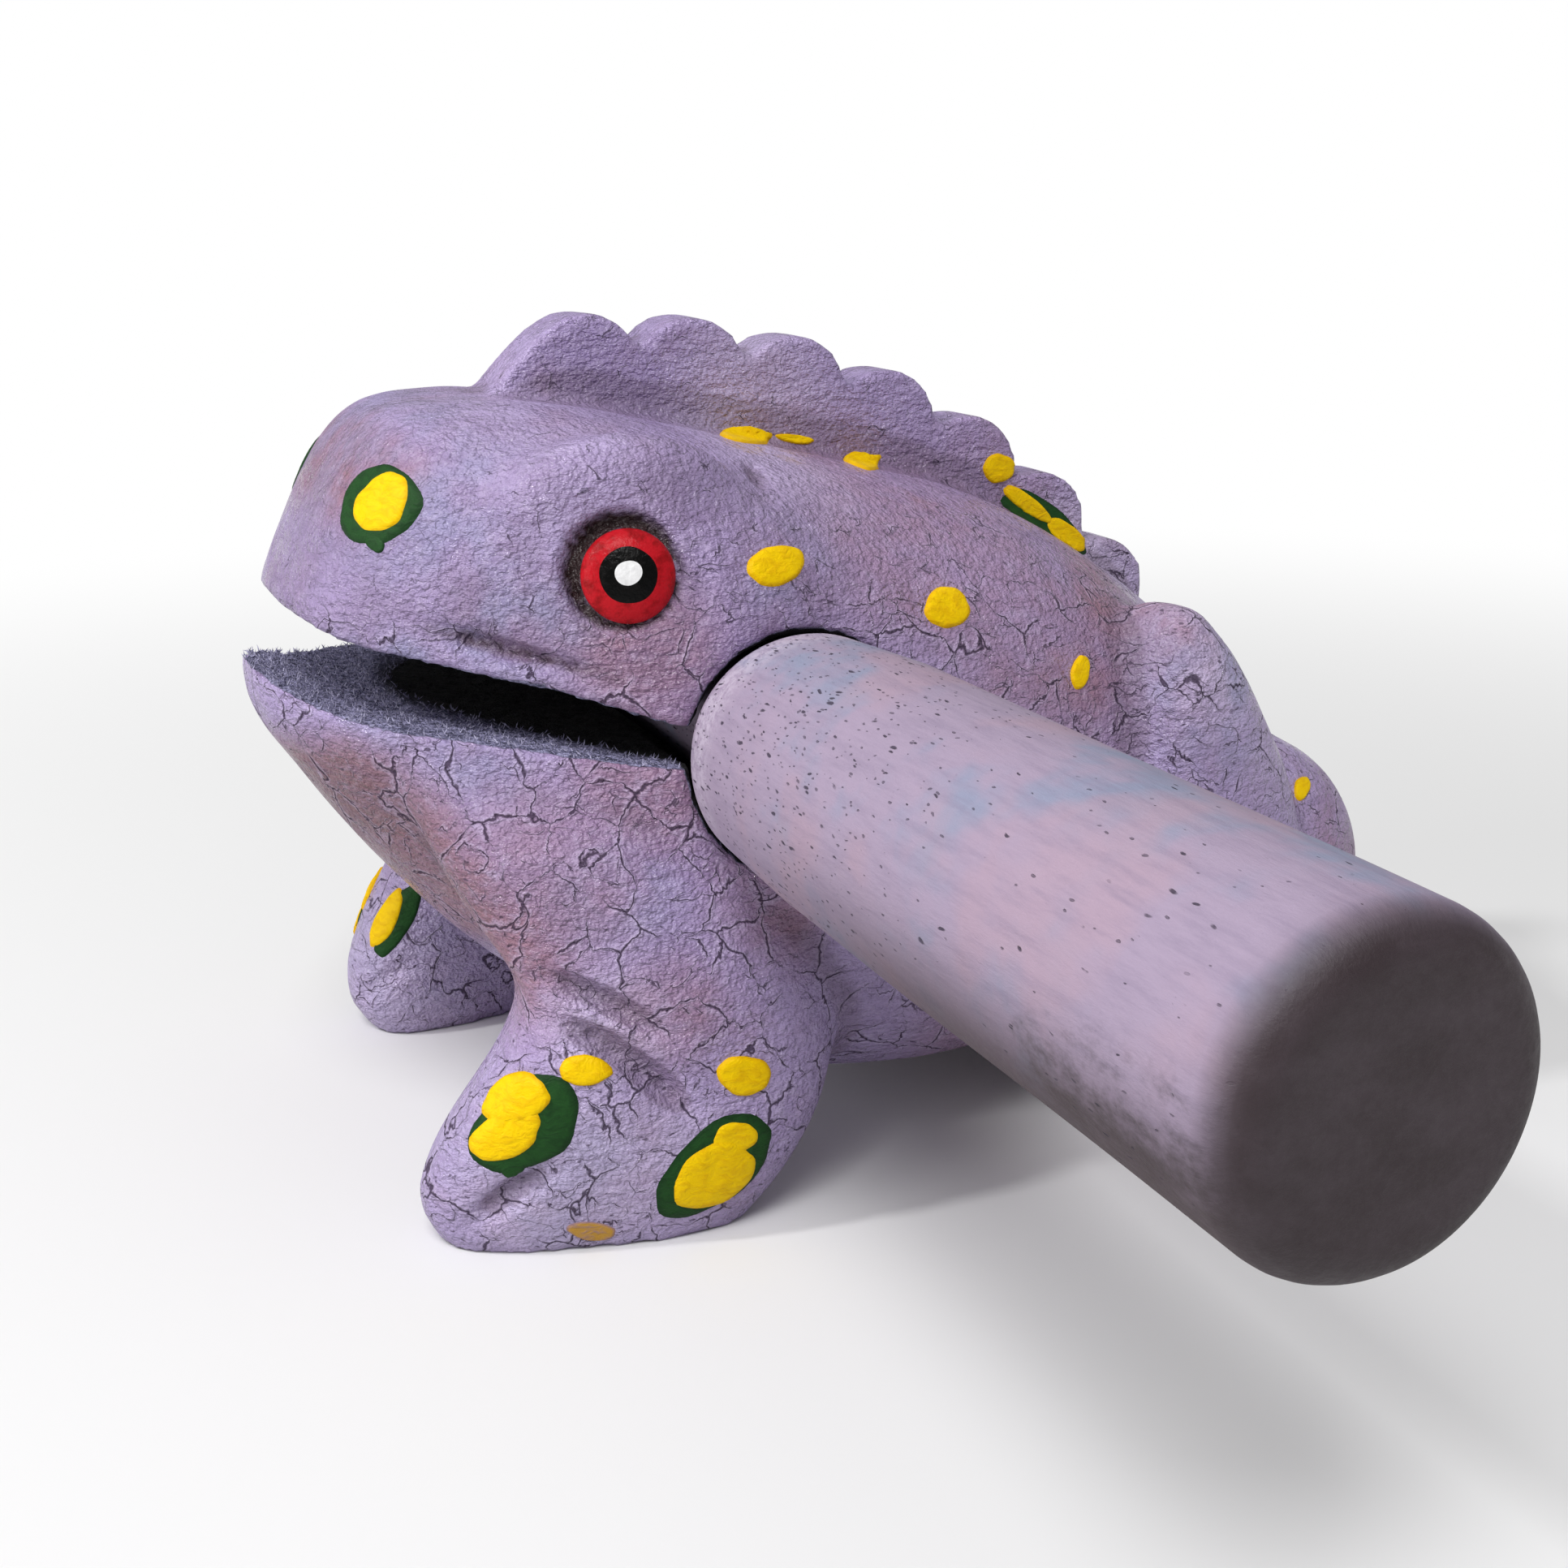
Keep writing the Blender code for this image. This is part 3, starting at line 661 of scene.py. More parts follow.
def striker_wood():
    n = Nodes("striker_wash")
    place = n.millimetres()
    end, soot_and_shade_mask = n.attribute("end_grain"), n.attribute("soot_and_shade_mask")
    cloud = n.noise(place, STRIKER_CLOUDS_PER_MM, 4.0, 0.6)
    colour = n.mix(n.ramp(cloud, 0.50, 0.66), STRIKER, STRIKER_BLUE)
    other = n.noise(n.vector("ADD", place, STRIKER_ROSE_SHIFT), STRIKER_ROSE_PER_MM, 3.0, 0.55)
    colour = n.mix(n.ramp(other, 0.48, 0.66, 0.0, 0.8), colour, STRIKER_ROSE)
    grain = n.noise(n.squeeze(place, STRIKER_GRAIN_SQUEEZE), STRIKER_GRAIN_PER_MM, 5.0, 0.7)
    colour = n.mix(n.ramp(grain, 0.40, 0.75, 0.0, 0.40), colour, STRIKER_GRAIN)
    dusty = n.noise(place, STRIKER_DUST_PER_MM, 4.0, 0.75)
    band = n.math("MULTIPLY", n.attribute("band"), n.ramp(dusty, 0.35, 0.6))
    colour = n.mix(n.math("MULTIPLY", band, BAND_DUST), colour, STRIKER_PALE)

    # Soot blotches towards the free end, partly dirt and partly painted shade, then painted shade
    # along the whole underside
    soot_and_shade_blotches = n.noise(n.squeeze(place, STRIKER_SOOT_AND_SHADE_SQUEEZE), STRIKER_SOOT_AND_SHADE_PER_MM, 5.0, 0.75)
    soot_and_shade_blotches = n.ramp(n.math("ADD", soot_and_shade_blotches, n.math("MULTIPLY", soot_and_shade_mask, 0.35)), 0.60, 0.95)
    colour = n.mix(n.math("MULTIPLY", soot_and_shade_blotches, n.ramp(soot_and_shade_mask, 0.0, 0.5)), colour, SOOT_AND_SHADE)
    colour = n.mix(n.math("MULTIPLY", n.attribute("underside_shade"), UNDERSIDE_SHADE_STRENGTH), colour, STRIKER_UNDERSIDE_SHADE)

    # Pores are short dashes along the stick, dense near the shoulder
    drift = n.drift(place, *PORE_DRIFT)

    def dashes(stretch, scale, rarity, small, large):
        cell = n.voronoi(n.squeeze(drift, stretch), scale, "F1")
        pick = n.add("ShaderNodeSeparateColor", {0: cell.outputs["Color"]})
        chosen = n.ramp(n.math("SUBTRACT", pick.outputs[0], rarity), 0.0, 0.03)
        size = n.ramp(pick.outputs[1], 0.0, 1.0, small, large)
        spread = n.math("DIVIDE", cell.outputs["Distance"], size)
        return n.math("MULTIPLY", n.ramp(spread, 1.0, 0.5), chosen)

    rarity = n.math("MULTIPLY", n.attribute("pores"), PORE_SPREAD)
    rarity = n.math("SUBTRACT", 0.99, rarity)
    long = dashes(LONG_PORE_SQUEEZE, LONG_PORES_PER_MM, rarity, *LONG_PORE)
    short = dashes(SHORT_PORE_SQUEEZE, SHORT_PORES_PER_MM, rarity, *SHORT_PORE)
    pores = n.math("MAXIMUM", long, n.math("MULTIPLY", short, SHORT_PORE_SHARE))
    pores = n.math("MULTIPLY", pores, n.math("SUBTRACT", 1.0, end))
    colour = n.mix(n.math("MULTIPLY", pores, PORE_DARK), colour, PORE)
    rings = n.noise(n.squeeze(place, END_RING_SQUEEZE), END_RINGS_PER_MM, 4.0, 0.6)
    colour = n.mix(end, colour, n.mix(n.ramp(rings, 0.35, 0.7), STRIKER_END, END_RING))

    fine = n.noise(n.squeeze(place, STRIKER_FINE_SQUEEZE), STRIKER_FINE_PER_MM, 5.0, 0.7)
    relief = n.math("SUBTRACT", n.math("MULTIPLY", fine, 0.45), pores)
    dust = n.math("MULTIPLY", dusty, n.math("MULTIPLY", n.attribute("band"), 0.7))
    relief = n.math("ADD", relief, dust)
    rough = n.ramp(dusty, 0.3, 0.7, *STRIKER_ROUGH)
    rough = n.math("SUBTRACT", rough, n.math("MULTIPLY", end, 0.2))
    return n.finish(Base_Color=colour, Roughness=rough, Normal=n.bump(relief, STRIKER_BUMP))


def dab_paint(name, colour, shade, roughness):
    n = Nodes(name)
    place = n.millimetres()
    strokes = n.squeeze(n.drift(place, *BRUSH_DRIFT), BRUSH_SQUEEZE)
    brush = n.noise(strokes, BRUSH_PER_MM, 3.0, 0.6)
    thin = n.attribute("edge")
    mixed = n.mix(n.ramp(brush, 0.40, 0.72, 0.0, 0.55), colour, shade)
    mixed = n.mix(n.ramp(thin, 0.80, 1.0, 0.0, 0.7), mixed, shade)
    fine = n.noise(place, DAB_FINE_PER_MM, 4.0, 0.65)
    relief = n.math("ADD", n.math("MULTIPLY", brush, 0.8), n.math("MULTIPLY", fine, 0.25))
    return n.finish(
        Base_Color=mixed,
        Roughness=n.ramp(fine, 0.3, 0.7, roughness, roughness + DAB_ROUGH_SPREAD),
        Normal=n.bump(relief, DAB_BUMP),
        Specular_IOR_Level=DAB_SPECULAR,
    )


def eye_paint(name, colour, shade):
    n = Nodes(name)
    place = n.millimetres()
    brush = n.noise(place, EYE_BRUSH_PER_MM, 3.0, 0.6)
    fine = n.noise(place, EYE_FINE_PER_MM, 3.0, 0.6)
    return n.finish(
        Base_Color=n.mix(n.ramp(brush, 0.42, 0.68, 0.0, 0.8), colour, shade),
        Roughness=n.ramp(brush, 0.3, 0.7, *EYE_ROUGH),
        Normal=n.bump(fine, EYE_BUMP),
        Specular_IOR_Level=EYE_SPECULAR,
    )


def fibre_paint():
    n = Nodes("torn_fibres")
    place = n.millimetres()
    tone = n.noise(place, FIBRE_TONES_PER_MM, 3.0, 0.7)
    fine = n.noise(n.squeeze(place, FIBRE_SQUEEZE), FIBRE_FINE_PER_MM, 3.0, 0.7)
    return n.finish(
        Base_Color=n.mix(n.ramp(tone, 0.35, 0.65), FIBRE_DARK, FIBRE_PALE),
        Roughness=FIBRE_ROUGH,
        Normal=n.bump(fine, FIBRE_BUMP),
    )


# Skin


def smooth_step(low, high, value):
    t = np.clip((value - low) / (high - low), 0, 1)
    return t * t * (3 - 2 * t)


def mesh_arrays(mesh):
    points = np.empty(len(mesh.vertices) * 3)
    mesh.vertices.foreach_get("co", points)
    edges = np.empty(len(mesh.edges) * 2, dtype=np.int64)
    mesh.edges.foreach_get("vertices", edges)
    return points.reshape(-1, 3), edges.reshape(-1, 2)


def neighbour_mean(values, edges, degree):
    total = np.zeros_like(values)
    for axis in range(values.shape[1]):
        ahead = np.bincount(edges[:, 0], weights=values[edges[:, 1], axis], minlength=len(values))
        behind = np.bincount(edges[:, 1], weights=values[edges[:, 0], axis], minlength=len(values))
        total[:, axis] = (ahead + behind) / degree
    return total


def normals_of(mesh):
    normals = np.empty(len(mesh.vertices) * 3)
    mesh.vertices.foreach_get("normal", normals)
    return normals.reshape(-1, 3)


def fine_skin(node):
    """The carved body again in small even cells, with the CAD facets eased out."""
    obj = link("frog_skin", node.data.copy())
    remesh = obj.modifiers.new("cells", "REMESH")
    remesh.mode = "VOXEL"
    remesh.voxel_size = SKIN_CELL * MM
    graph = bpy.context.evaluated_depsgraph_get()
    mesh = bpy.data.meshes.new_from_object(obj.evaluated_get(graph))
    obj.modifiers.clear()
    obj.data = mesh
    points, edges = mesh_arrays(mesh)
    degree = np.maximum(np.bincount(edges.ravel(), minlength=len(points)), 1)

    # Carved edges are where neighbouring normals differ most
    normals = normals_of(mesh)
    turn = 1 - (normals[edges[:, 0]] * normals[edges[:, 1]]).sum(axis=1)
    sharp = np.zeros(len(points))
    for side in (0, 1):
        np.maximum.at(sharp, edges[:, side], turn)
    sharp = smooth_step(*SHARP_TURN, sharp)[:, None]
    for _ in range(SHARP_SPREAD):
        sharp = np.maximum(sharp, neighbour_mean(sharp, edges, degree))
    free = 1 - sharp
    for step in range(EASE_STEPS):
        pull = EASE_IN if step % 2 == 0 else EASE_OUT
        points += pull * free * (neighbour_mean(points, edges, degree) - points)
    for _ in range(2):
        points += 0.4 * (neighbour_mean(points, edges, degree) - points)
    mesh.vertices.foreach_set("co", points.ravel())
    mesh.update()
    return obj, points, edges, degree


def groove_place(place, normals):
    """How far each point sinks into a crease, and how dark the crease is there, both 0 to 1."""
    sink, dark = np.zeros(len(place)), np.zeros(len(place))
    side = smooth_step(0.30, 0.5, np.abs(normals[:, 0])) * (np.abs(place[:, 0]) > 8)
    for corners, half_width, darkness in CREASES:
        last = len(corners) - 1
        for i in range(last):
            start, end = np.array(corners[i]), np.array(corners[i + 1])
            run = end - start
            share = np.clip((place[:, 1:] - start) @ run / (run @ run), 0, 1)
            away = np.linalg.norm(place[:, 1:] - start - share[:, None] * run, axis=1)
            taper = np.sqrt(np.sin(math.pi * (0.08 + 0.84 * (i + share) / last))) * side
            reach = away / half_width
            sink = np.maximum(sink, taper * np.clip(1 - reach, 0, 1))
            dark = np.maximum(dark, darkness * taper * (1 - smooth_step(0.1, 0.6, reach)))
    return sink, dark


def mouth_lips(y):
    """Heights of the lower and the upper side of the saw cut, from Y."""
    reach = BORE[0] - y
    curl = MOUTH_CURL * np.maximum(0, (reach - MOUTH_CURL_FROM) / 10) ** 2
    middle = BORE[1] + MOUTH_RISE + MOUTH_SLOPE * reach + curl
    half = (MOUTH_GAP + MOUTH_FLARE * np.maximum(0, (reach - MOUTH_FLARE_FROM) / 20)) / 2
    pinch = MOUTH_PINCH * np.clip((MOUTH_PINCH_TO - reach) / 10, 0, 1)
    return middle - half, middle + half - pinch


def paint_masks(obj, points, edges, degree):
    mesh = obj.data
    normals = normals_of(mesh)
    place = points / MM - np.array(OFFSET)
    x, y, z = place.T
    masks = {}

    lower, upper = mouth_lips(y)
    past = np.maximum(lower - z, z - upper)
    in_mouth = (1 - smooth_step(0.0, 0.35, past)) * (y < BORE[0])
    wall = np.where(x > SEAT_FROM, SEAT_RADIUS, BORE_RADIUS)
    radial = place[:, 1:] - np.array(BORE)
    radius = np.maximum(np.linalg.norm(radial, axis=1), 1e-6)
    inward = -(normals[:, 1:] * radial).sum(axis=1) / radius
    walled = (1 - smooth_step(0.2, 0.5, radius - wall)) * smooth_step(0.45, 0.75, inward)
    in_bore = np.maximum(walled, 1 - smooth_step(-0.7, -0.35, radius - wall))
    bare = np.maximum(in_mouth, in_bore)
    masks["bored"] = in_bore
    masks["bare"] = bare
    outer = np.where(bare < 0.3)[0]
    tree = kdtree.KDTree(len(outer))
    for i in outer:
        tree.insert(place[i], i)
    tree.balance()
    # Depth in from the painted skin, which turns the mouth and the bore black: black paint and
    # painted shade
    deep = np.zeros(len(place))
    for i in np.where(bare > 0.3)[0]:
        deep[i] = tree.find(place[i])[2]
    ahead = np.clip((BORE[0] - BORE_RADIUS - y) / LIP_LENGTH, 0, 1)
    masks["deep"] = np.clip(deep / (LIP_BACK + (LIP_FRONT - LIP_BACK) * ahead**1.3) + in_bore, 0, 1)
    # Creases: a dark line along each, with painted shade in it
    masks["groove"] = groove_place(place, normals)[1]

    # Eye sockets: dark stain, darkened further as painted shade
    socket = np.zeros(len(place))
    for centre, axis in EYES.values():
        _, radius, reach, height = socket_place(place, centre, axis)
        near = (radius > SOCKET_FROM - 0.2) & (height > -4)
        socket = np.maximum(socket, near * (1 - smooth_step(reach - 0.2, reach + 0.35, radius)))
    masks["socket"] = socket

    # Painted shade in the hollows between carved forms, from how the surface curves at a few sizes
    curve = ((neighbour_mean(points, edges, degree) - points) * normals).sum(axis=1)[:, None]
    total = np.zeros_like(curve)
    for _ in range(3):
        for _ in range(6):
            curve = neighbour_mean(curve, edges, degree)
        total = total + curve
    masks["hollow"] = np.clip(total[:, 0] / (HOLLOW_CURVE * MM), 0, 1) * (1 - bare)

    for name, tints in TINTS.items():
        value = np.zeros(len(place))
        for tint_y, tint_z, radius, strength in tints:
            reach = np.hypot(y - tint_y, z - tint_z) / radius
            value = np.maximum(value, strength * (1 - smooth_step(0.35, 1.25, reach)))
        masks[name] = value

    # Large plates on cheeks, chest, flanks and feet; small cracks over the head and the rasp
    low = 1 - smooth_step(43, 50, z)
    masks["plates"] = np.clip(0.10 + 0.90 * low * (1 - smooth_step(20, 40, y) * 0.5), 0, 1)
    snout = (1 - smooth_step(-38, -30, y)) * smooth_step(42, 46, z)
    masks["calm"] = np.maximum(snout, 0.5 * smooth_step(50, 56, z))
    back = smooth_step(0, 14, y)
    throat = (1 - smooth_step(4, 14, y + z + 14)) * (1 - smooth_step(34, 42, z))
    masks["pitted"] = np.clip(0.3 + 0.7 * np.maximum(back, throat), 0, 1)
    add_layers(mesh, masks)
    return masks


def add_layers(mesh, layers):
    for name, value in layers.items():
        layer = mesh.attributes.new(name, "FLOAT", "POINT")
        layer.data.foreach_set("value", np.ascontiguousarray(value, dtype=np.float32))


def socket_place(place, centre, axis):
    """For each point: its place across the socket, distance out, the reach there, and height."""
    axis = np.array(axis)
    across = np.array(Vector((0, -1, 1)).normalized())
    across -= across.dot(axis) * axis
    across /= np.linalg.norm(across)
    side = np.cross(axis, across)
    offset = place - np.array(centre)
    flat = np.stack((offset @ across, offset @ side), axis=1)
    radius = np.maximum(np.linalg.norm(flat, axis=1), 1e-6)
    return flat, radius, SOCKET_TO + SOCKET_SHIFT * flat[:, 0] / radius, offset @ axis


def cut_sockets(obj, points, edges, degree):
    """Clean ring-shaped sockets, deeper and wider towards the brow, round the standing discs."""
    for centre, axis in EYES.values():
        place = points / MM - np.array(OFFSET)
        _, radius, _, height = socket_place(place, centre, axis)
        soft = ((1 - smooth_step(*SOCKET_EASED, radius)) * (np.abs(height) < 3))[:, None]
        for _ in range(14):
            points += 0.5 * soft * (neighbour_mean(points, edges, degree) - points)
        place = points / MM - np.array(OFFSET)
        flat, radius, reach, height = socket_place(place, centre, axis)
        rim = (radius > SOCKET_LEVEL[0]) & (radius < SOCKET_LEVEL[1]) & (np.abs(height) < 4)
        u, v = flat.T
        terms = np.stack((np.ones_like(u), u, v, u * u, u * v, v * v), axis=1)
        fit = np.linalg.lstsq(terms[rim], height[rim], rcond=None)[0]
        level = terms @ fit
        ring = smooth_step(SOCKET_FROM - 0.15, SOCKET_FROM + 0.2, radius)
        ring *= 1 - smooth_step(reach - 0.55, reach + 0.5, radius)
        depth = SOCKET_DEPTH * (0.75 + 0.25 * u / radius) * ring
        inside = (1 - smooth_step(*SOCKET_BLEND, radius)) * (np.abs(height - level) < 3)
        disc = 1 - smooth_step(EYE_RADIUS - 0.1, EYE_RADIUS + 0.25, radius)
        target = (level - depth) * (1 - disc) - DISC_SINK * disc
        moved = (target - height) * inside
        points += moved[:, None] * np.array(axis) * MM
    obj.data.vertices.foreach_set("co", points.ravel())
    obj.data.update()


def cut_creases(obj, points):
    """Sinks the creases, which the cells of the skin have softened, a little deeper."""
    normals = normals_of(obj.data)
    sink, _ = groove_place(points / MM - np.array(OFFSET), normals)
    points -= normals * sink[:, None] * CREASE_DEPTH * MM
    obj.data.vertices.foreach_set("co", points.ravel())
    obj.data.update()


def carve_relief(obj, points, masks):
    """Uneven hand work: soft facets all over and torn fibres on the sawn lips."""
    normals = normals_of(obj.data)
    lift = np.empty(len(points))
    for i, point in enumerate(points):
        place = Vector(point) / MM
        soft = noise.noise(place * 0.16) * FACET_DEPTH
        torn = noise.noise(place * 1.3) * TORN_DEPTH * masks["bare"][i]
        lift[i] = soft + torn
    inside = RELIEF_INSET + SAWN_INSET * masks["bare"]
    points = points + normals * (lift - inside)[:, None] * MM
    points = np.maximum(points, np.array(cad_box[0]))
    points = np.minimum(points, np.array(cad_box[1]))
    obj.data.vertices.foreach_set("co", points.ravel())
    obj.data.update()
    return points


def grid_disc(name, rows, materials, pick=None, values=None):
    """Rings of points from the middle outwards, as one sheet."""
    count = len(rows[1])
    points = [rows[0][0]] + [p for row in rows[1:] for p in row]
    faces = [(0, 1 + j, 1 + (j + 1) % count) for j in range(count)]
    rings = [0] * count
    for i in range(len(rows) - 2):
        for j in range(count):
            a, b = 1 + i * count + j, 1 + i * count + (j + 1) % count
            faces.append((a, a + count, b + count, b))
            rings.append(i + 1)
    mesh = bpy.data.meshes.new(name)
    mesh.from_pydata(points, [], faces)
    for material in materials:
        mesh.materials.append(material)
    if pick:
        mesh.polygons.foreach_set("material_index", [pick(ring) for ring in rings])
    if values is not None:
        layer = mesh.attributes.new("edge", "FLOAT", "POINT")
        layer.data.foreach_set("value", values)
    mesh.shade_smooth()
    return link(name, mesh)


def lip_fibres(skin, points, masks, material):
    """Torn fibres standing on the sawn lower lip."""
    normals = normals_of(skin.data)
    y = points[:, 1] / MM - OFFSET.y
    picked = (masks["bare"] > 0.55) & (masks["deep"] < FIBRE_DEPTH) & (normals[:, 2] > 0.5)
    picked = np.where(picked & (y < BORE[0] - BORE_RADIUS - 1))[0]
    chance = random.Random(FIBRE_SEED)
    corners, faces = [], []
    for _ in range(FIBRE_COUNT):
        i = picked[chance.randrange(len(picked))]
        root = Vector(points[i])
        lean = Vector((chance.uniform(-1, 1), chance.uniform(-1, 1), chance.uniform(0.15, 0.9)))
        lean = (lean + Vector(normals[i]) * 0.3).normalized()
        side = lean.orthogonal().normalized()
        length = chance.uniform(*FIBRE_LENGTH) * MM
        width = chance.uniform(*FIBRE_HALF_WIDTH) * MM
        bend = side * chance.uniform(-0.3, 0.3) * length
        base = len(corners)
        for height, share in ((-0.1, 1.0), (0.55, 0.75)):
            middle = root + lean * length * height + bend * max(0, height) ** 2
            for j in range(FIBRE_SIDES):
                turn = Matrix.Rotation(2 * math.pi * j / FIBRE_SIDES, 3, lean)
                corners.append(middle + turn @ side * width * share)
        corners.append(root + lean * length + bend)
        upper, top = base + FIBRE_SIDES, base + 2 * FIBRE_SIDES
        for j in range(FIBRE_SIDES):
            k = (j + 1) % FIBRE_SIDES
            faces.append((base + j, base + k, upper + k, upper + j))
            faces.append((upper + j, upper + k, top))
    mesh = bpy.data.meshes.new("lip_fibres")
    mesh.from_pydata(corners, [], faces)
    mesh.materials.append(material)
    mesh.shade_smooth()
    obj = link("lip_fibres", mesh)
    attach(obj, "root")


def blob_radius(angle, seed):
    wobble = 0.0
    for order, size in BLOB_WAVES:
        wobble += size * math.sin(order * angle + seed * (1.7 + order))
    return 1 + wobble


def dab(name, tree, spec, material, mirrored):
    """A raised dab whose outline is laid out as the photograph shows it."""
    x, y, length, width, turn, seed, thickness = spec
    start, direction = pixel_ray(x, y)
    centre, normal, _, _ = tree.ray_cast(start, direction)
    turn = math.radians(turn)
    rows, values = [], []
    for ring in range(DAB_RINGS + 1):
        share = ring / DAB_RINGS
        row = []
        for j in range(DAB_SIDES if ring else 1):
            angle = 2 * math.pi * j / DAB_SIDES
            reach = share * blob_radius(angle, seed)
            along, across = length * reach * math.cos(angle), width * reach * math.sin(angle)
            u = along * math.cos(turn) - across * math.sin(turn)
            v = along * math.sin(turn) + across * math.cos(turn)
            start, direction = pixel_ray(x + u, y - v)
            facing = direction.dot(normal)
            if abs(facing) < GRAZING:
                facing = -GRAZING
            point = start + direction * ((centre - start).dot(normal) / facing)
            if mirrored:
                point.x = 2 * OFFSET.x * MM - point.x
            near, near_normal, _, _ = tree.find_nearest(point)
            ridge = noise.noise(near / MM * 0.9 + Vector((seed, 0, 0))) * 0.25 + 1
            height = DAB_LIFT + thickness * ridge * (1 - share**5) ** 0.5
            if ring == DAB_RINGS:
                height = -DAB_EDGE_SINK
            row.append(near + near_normal * height * MM)
            values.append(share)
        rows.append(row)
    obj = grid_disc(name, rows, [material], values=values)
    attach(obj, "root")


def eye(side, centre, axis, materials):
    """The painted disc: white glint on a black pupil on a red iris."""
    turn = axis.to_track_quat("Z", "Y").to_matrix()
    glint_edge, pupil_edge = GLINT_RADIUS + PAINT_EDGE, PUPIL_RADIUS + PAINT_EDGE
    steps = [0, 0.3, 0.6, 0.8, GLINT_RADIUS, glint_edge, 1.2, 1.5, 1.8, PUPIL_RADIUS, pupil_edge]
    steps += [2.3, 2.6, 2.9, 3.15, 3.3, 3.38, EYE_RADIUS]
    rows = []
    for r in steps:
        row = []
        for j in range(EYE_SIDES if r else 1):
            angle = 2 * math.pi * j / EYE_SIDES
            wobble = 1.0
            if r <= glint_edge:
                wobble += 0.07 * math.sin(2 * angle + 1) + 0.015 * math.sin(3 * angle)
            elif r <= pupil_edge:
                wobble += 0.015 * math.sin(2 * angle + 2) + 0.01 * math.sin(5 * angle)
            shift = max(0.0, 1 - r / (PUPIL_RADIUS + 0.3)) * PUPIL_SHIFT
            reach = r * wobble
            flat = Vector((reach * math.cos(angle), reach * math.sin(angle) + shift, 0))
            level = math.sqrt(max(0.0, 1 - (min(flat.length, EYE_RADIUS) / EYE_RADIUS) ** 2))
            flat.z = EYE_DOME * level
            row.append(to_frame(centre + turn @ flat))
        rows.append(row)
    for drop in EYE_WALL:
        row = []
        for j in range(EYE_SIDES):
            angle = 2 * math.pi * j / EYE_SIDES
            flat = Vector((EYE_RADIUS * math.cos(angle), EYE_RADIUS * math.sin(angle), -drop))
            row.append(to_frame(centre + turn @ flat))
        rows.append(row)
    paint_ends = (steps.index(GLINT_RADIUS), steps.index(PUPIL_RADIUS), len(steps) - 1)

    def pick(ring):
        """The paint of a ring: white, black, red, and the rim on the wall."""
        return sum(ring >= end for end in paint_ends)

    obj = grid_disc(f"eye_{side}", rows, materials, pick)
    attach(obj, "root")


def striker_profile(tip, shoulder, end):
    """Places along the stick and radii there, from the cut end of its head to its hidden tip."""

    def round_off(x, r, radius, first, last, count):
        for degrees in np.linspace(first, last, count):
            turn = math.radians(degrees)
            profile.append((x + radius * math.cos(turn), r + radius * math.sin(turn)))

    profile = [(end, 0), (end, 2.5), (end, 5)]
    straight = end - END_ROUND
    round_off(straight, HEAD_RADIUS - END_ROUND, END_ROUND, 0, 90, 9)
    for i in range(1, 40):
        profile.append((straight - (straight - shoulder - TAPER_LENGTH) * i / 39, HEAD_RADIUS))
    for i in range(1, 9):
        x = shoulder + TAPER_LENGTH - (TAPER_LENGTH - SHOULDER_ROUND) * i / 8
        profile.append((x, HEAD_RADIUS + (SHOULDER_RADIUS - HEAD_RADIUS) * i / 8))
    neck = SHOULDER_RADIUS - SHOULDER_ROUND
    round_off(shoulder + SHOULDER_ROUND, neck, SHOULDER_ROUND, 99, 180, 10)
    profile.append((shoulder, SHAFT_RADIUS))
    for i in range(1, 30):
        profile.append((shoulder - (shoulder - tip - TIP_ROUND) * i / 30, SHAFT_RADIUS))
    round_off(tip + TIP_ROUND, SHAFT_RADIUS - TIP_ROUND, TIP_ROUND, 90, 180, 7)
    profile.append((tip, 0))
    return profile


def striker_piece(material):
    """The striker again with a finer lathe turn and slightly uneven sanding."""
    low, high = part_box("striker")
    tip, end = low[0] / MM, high[0] / MM
    centre_y, centre_z = (low[1] + high[1]) / 2 / MM, (low[2] + high[2]) / 2 / MM
    shoulder = end - HEAD_LENGTH
    rows = []
    for x, r in striker_profile(tip, shoulder, end):
        row = []
        for j in range(LATHE_SIDES if r else 1):
            angle = 2 * math.pi * j / LATHE_SIDES
            place = Vector((x * 0.05, math.cos(angle) * 1.2, math.sin(angle) * 1.2))
            sanded = -SANDING_DEPTH * (0.5 + noise.noise(place))
            uneven = sanded if r > SHAFT_RADIUS + 0.1 else 0.0
            reach = r + uneven * min(1, r / 6)
            y, z = reach * math.cos(angle), reach * math.sin(angle)
            row.append((x * MM, (centre_y + y) * MM, (centre_z + z) * MM))
        rows.append(row)
    last = rows.pop()
    obj = grid_disc("striker_wood", rows, [material])
    mesh = obj.data
    points, _ = mesh_arrays(mesh)
    along = points[:, 0] / MM - shoulder
    below = (centre_z - points[:, 2] / MM) / HEAD_RADIUS
    layers = {
        "end_grain": 1 - smooth_step(0.5, 3.4, HEAD_LENGTH - along),
        "pores": 1 - 0.85 * smooth_step(16, 42, along),
        "band": smooth_step(1.8, 3.2, along) * (1 - smooth_step(4.8, 7.0, along)),
        # Soot blotches near the free end, partly dirt and partly painted shade, and painted shade
        # along the underside
        "soot_and_shade_mask": smooth_step(36, HEAD_LENGTH - 10, along) * smooth_step(-0.6, 0.5, below),
        "underside_shade": smooth_step(5, 48, along) * smooth_step(-0.25, 0.65, below),
    }
    add_layers(mesh, layers)
    close_end(mesh, last[0], LATHE_SIDES)
    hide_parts("striker")
    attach(obj, "root")


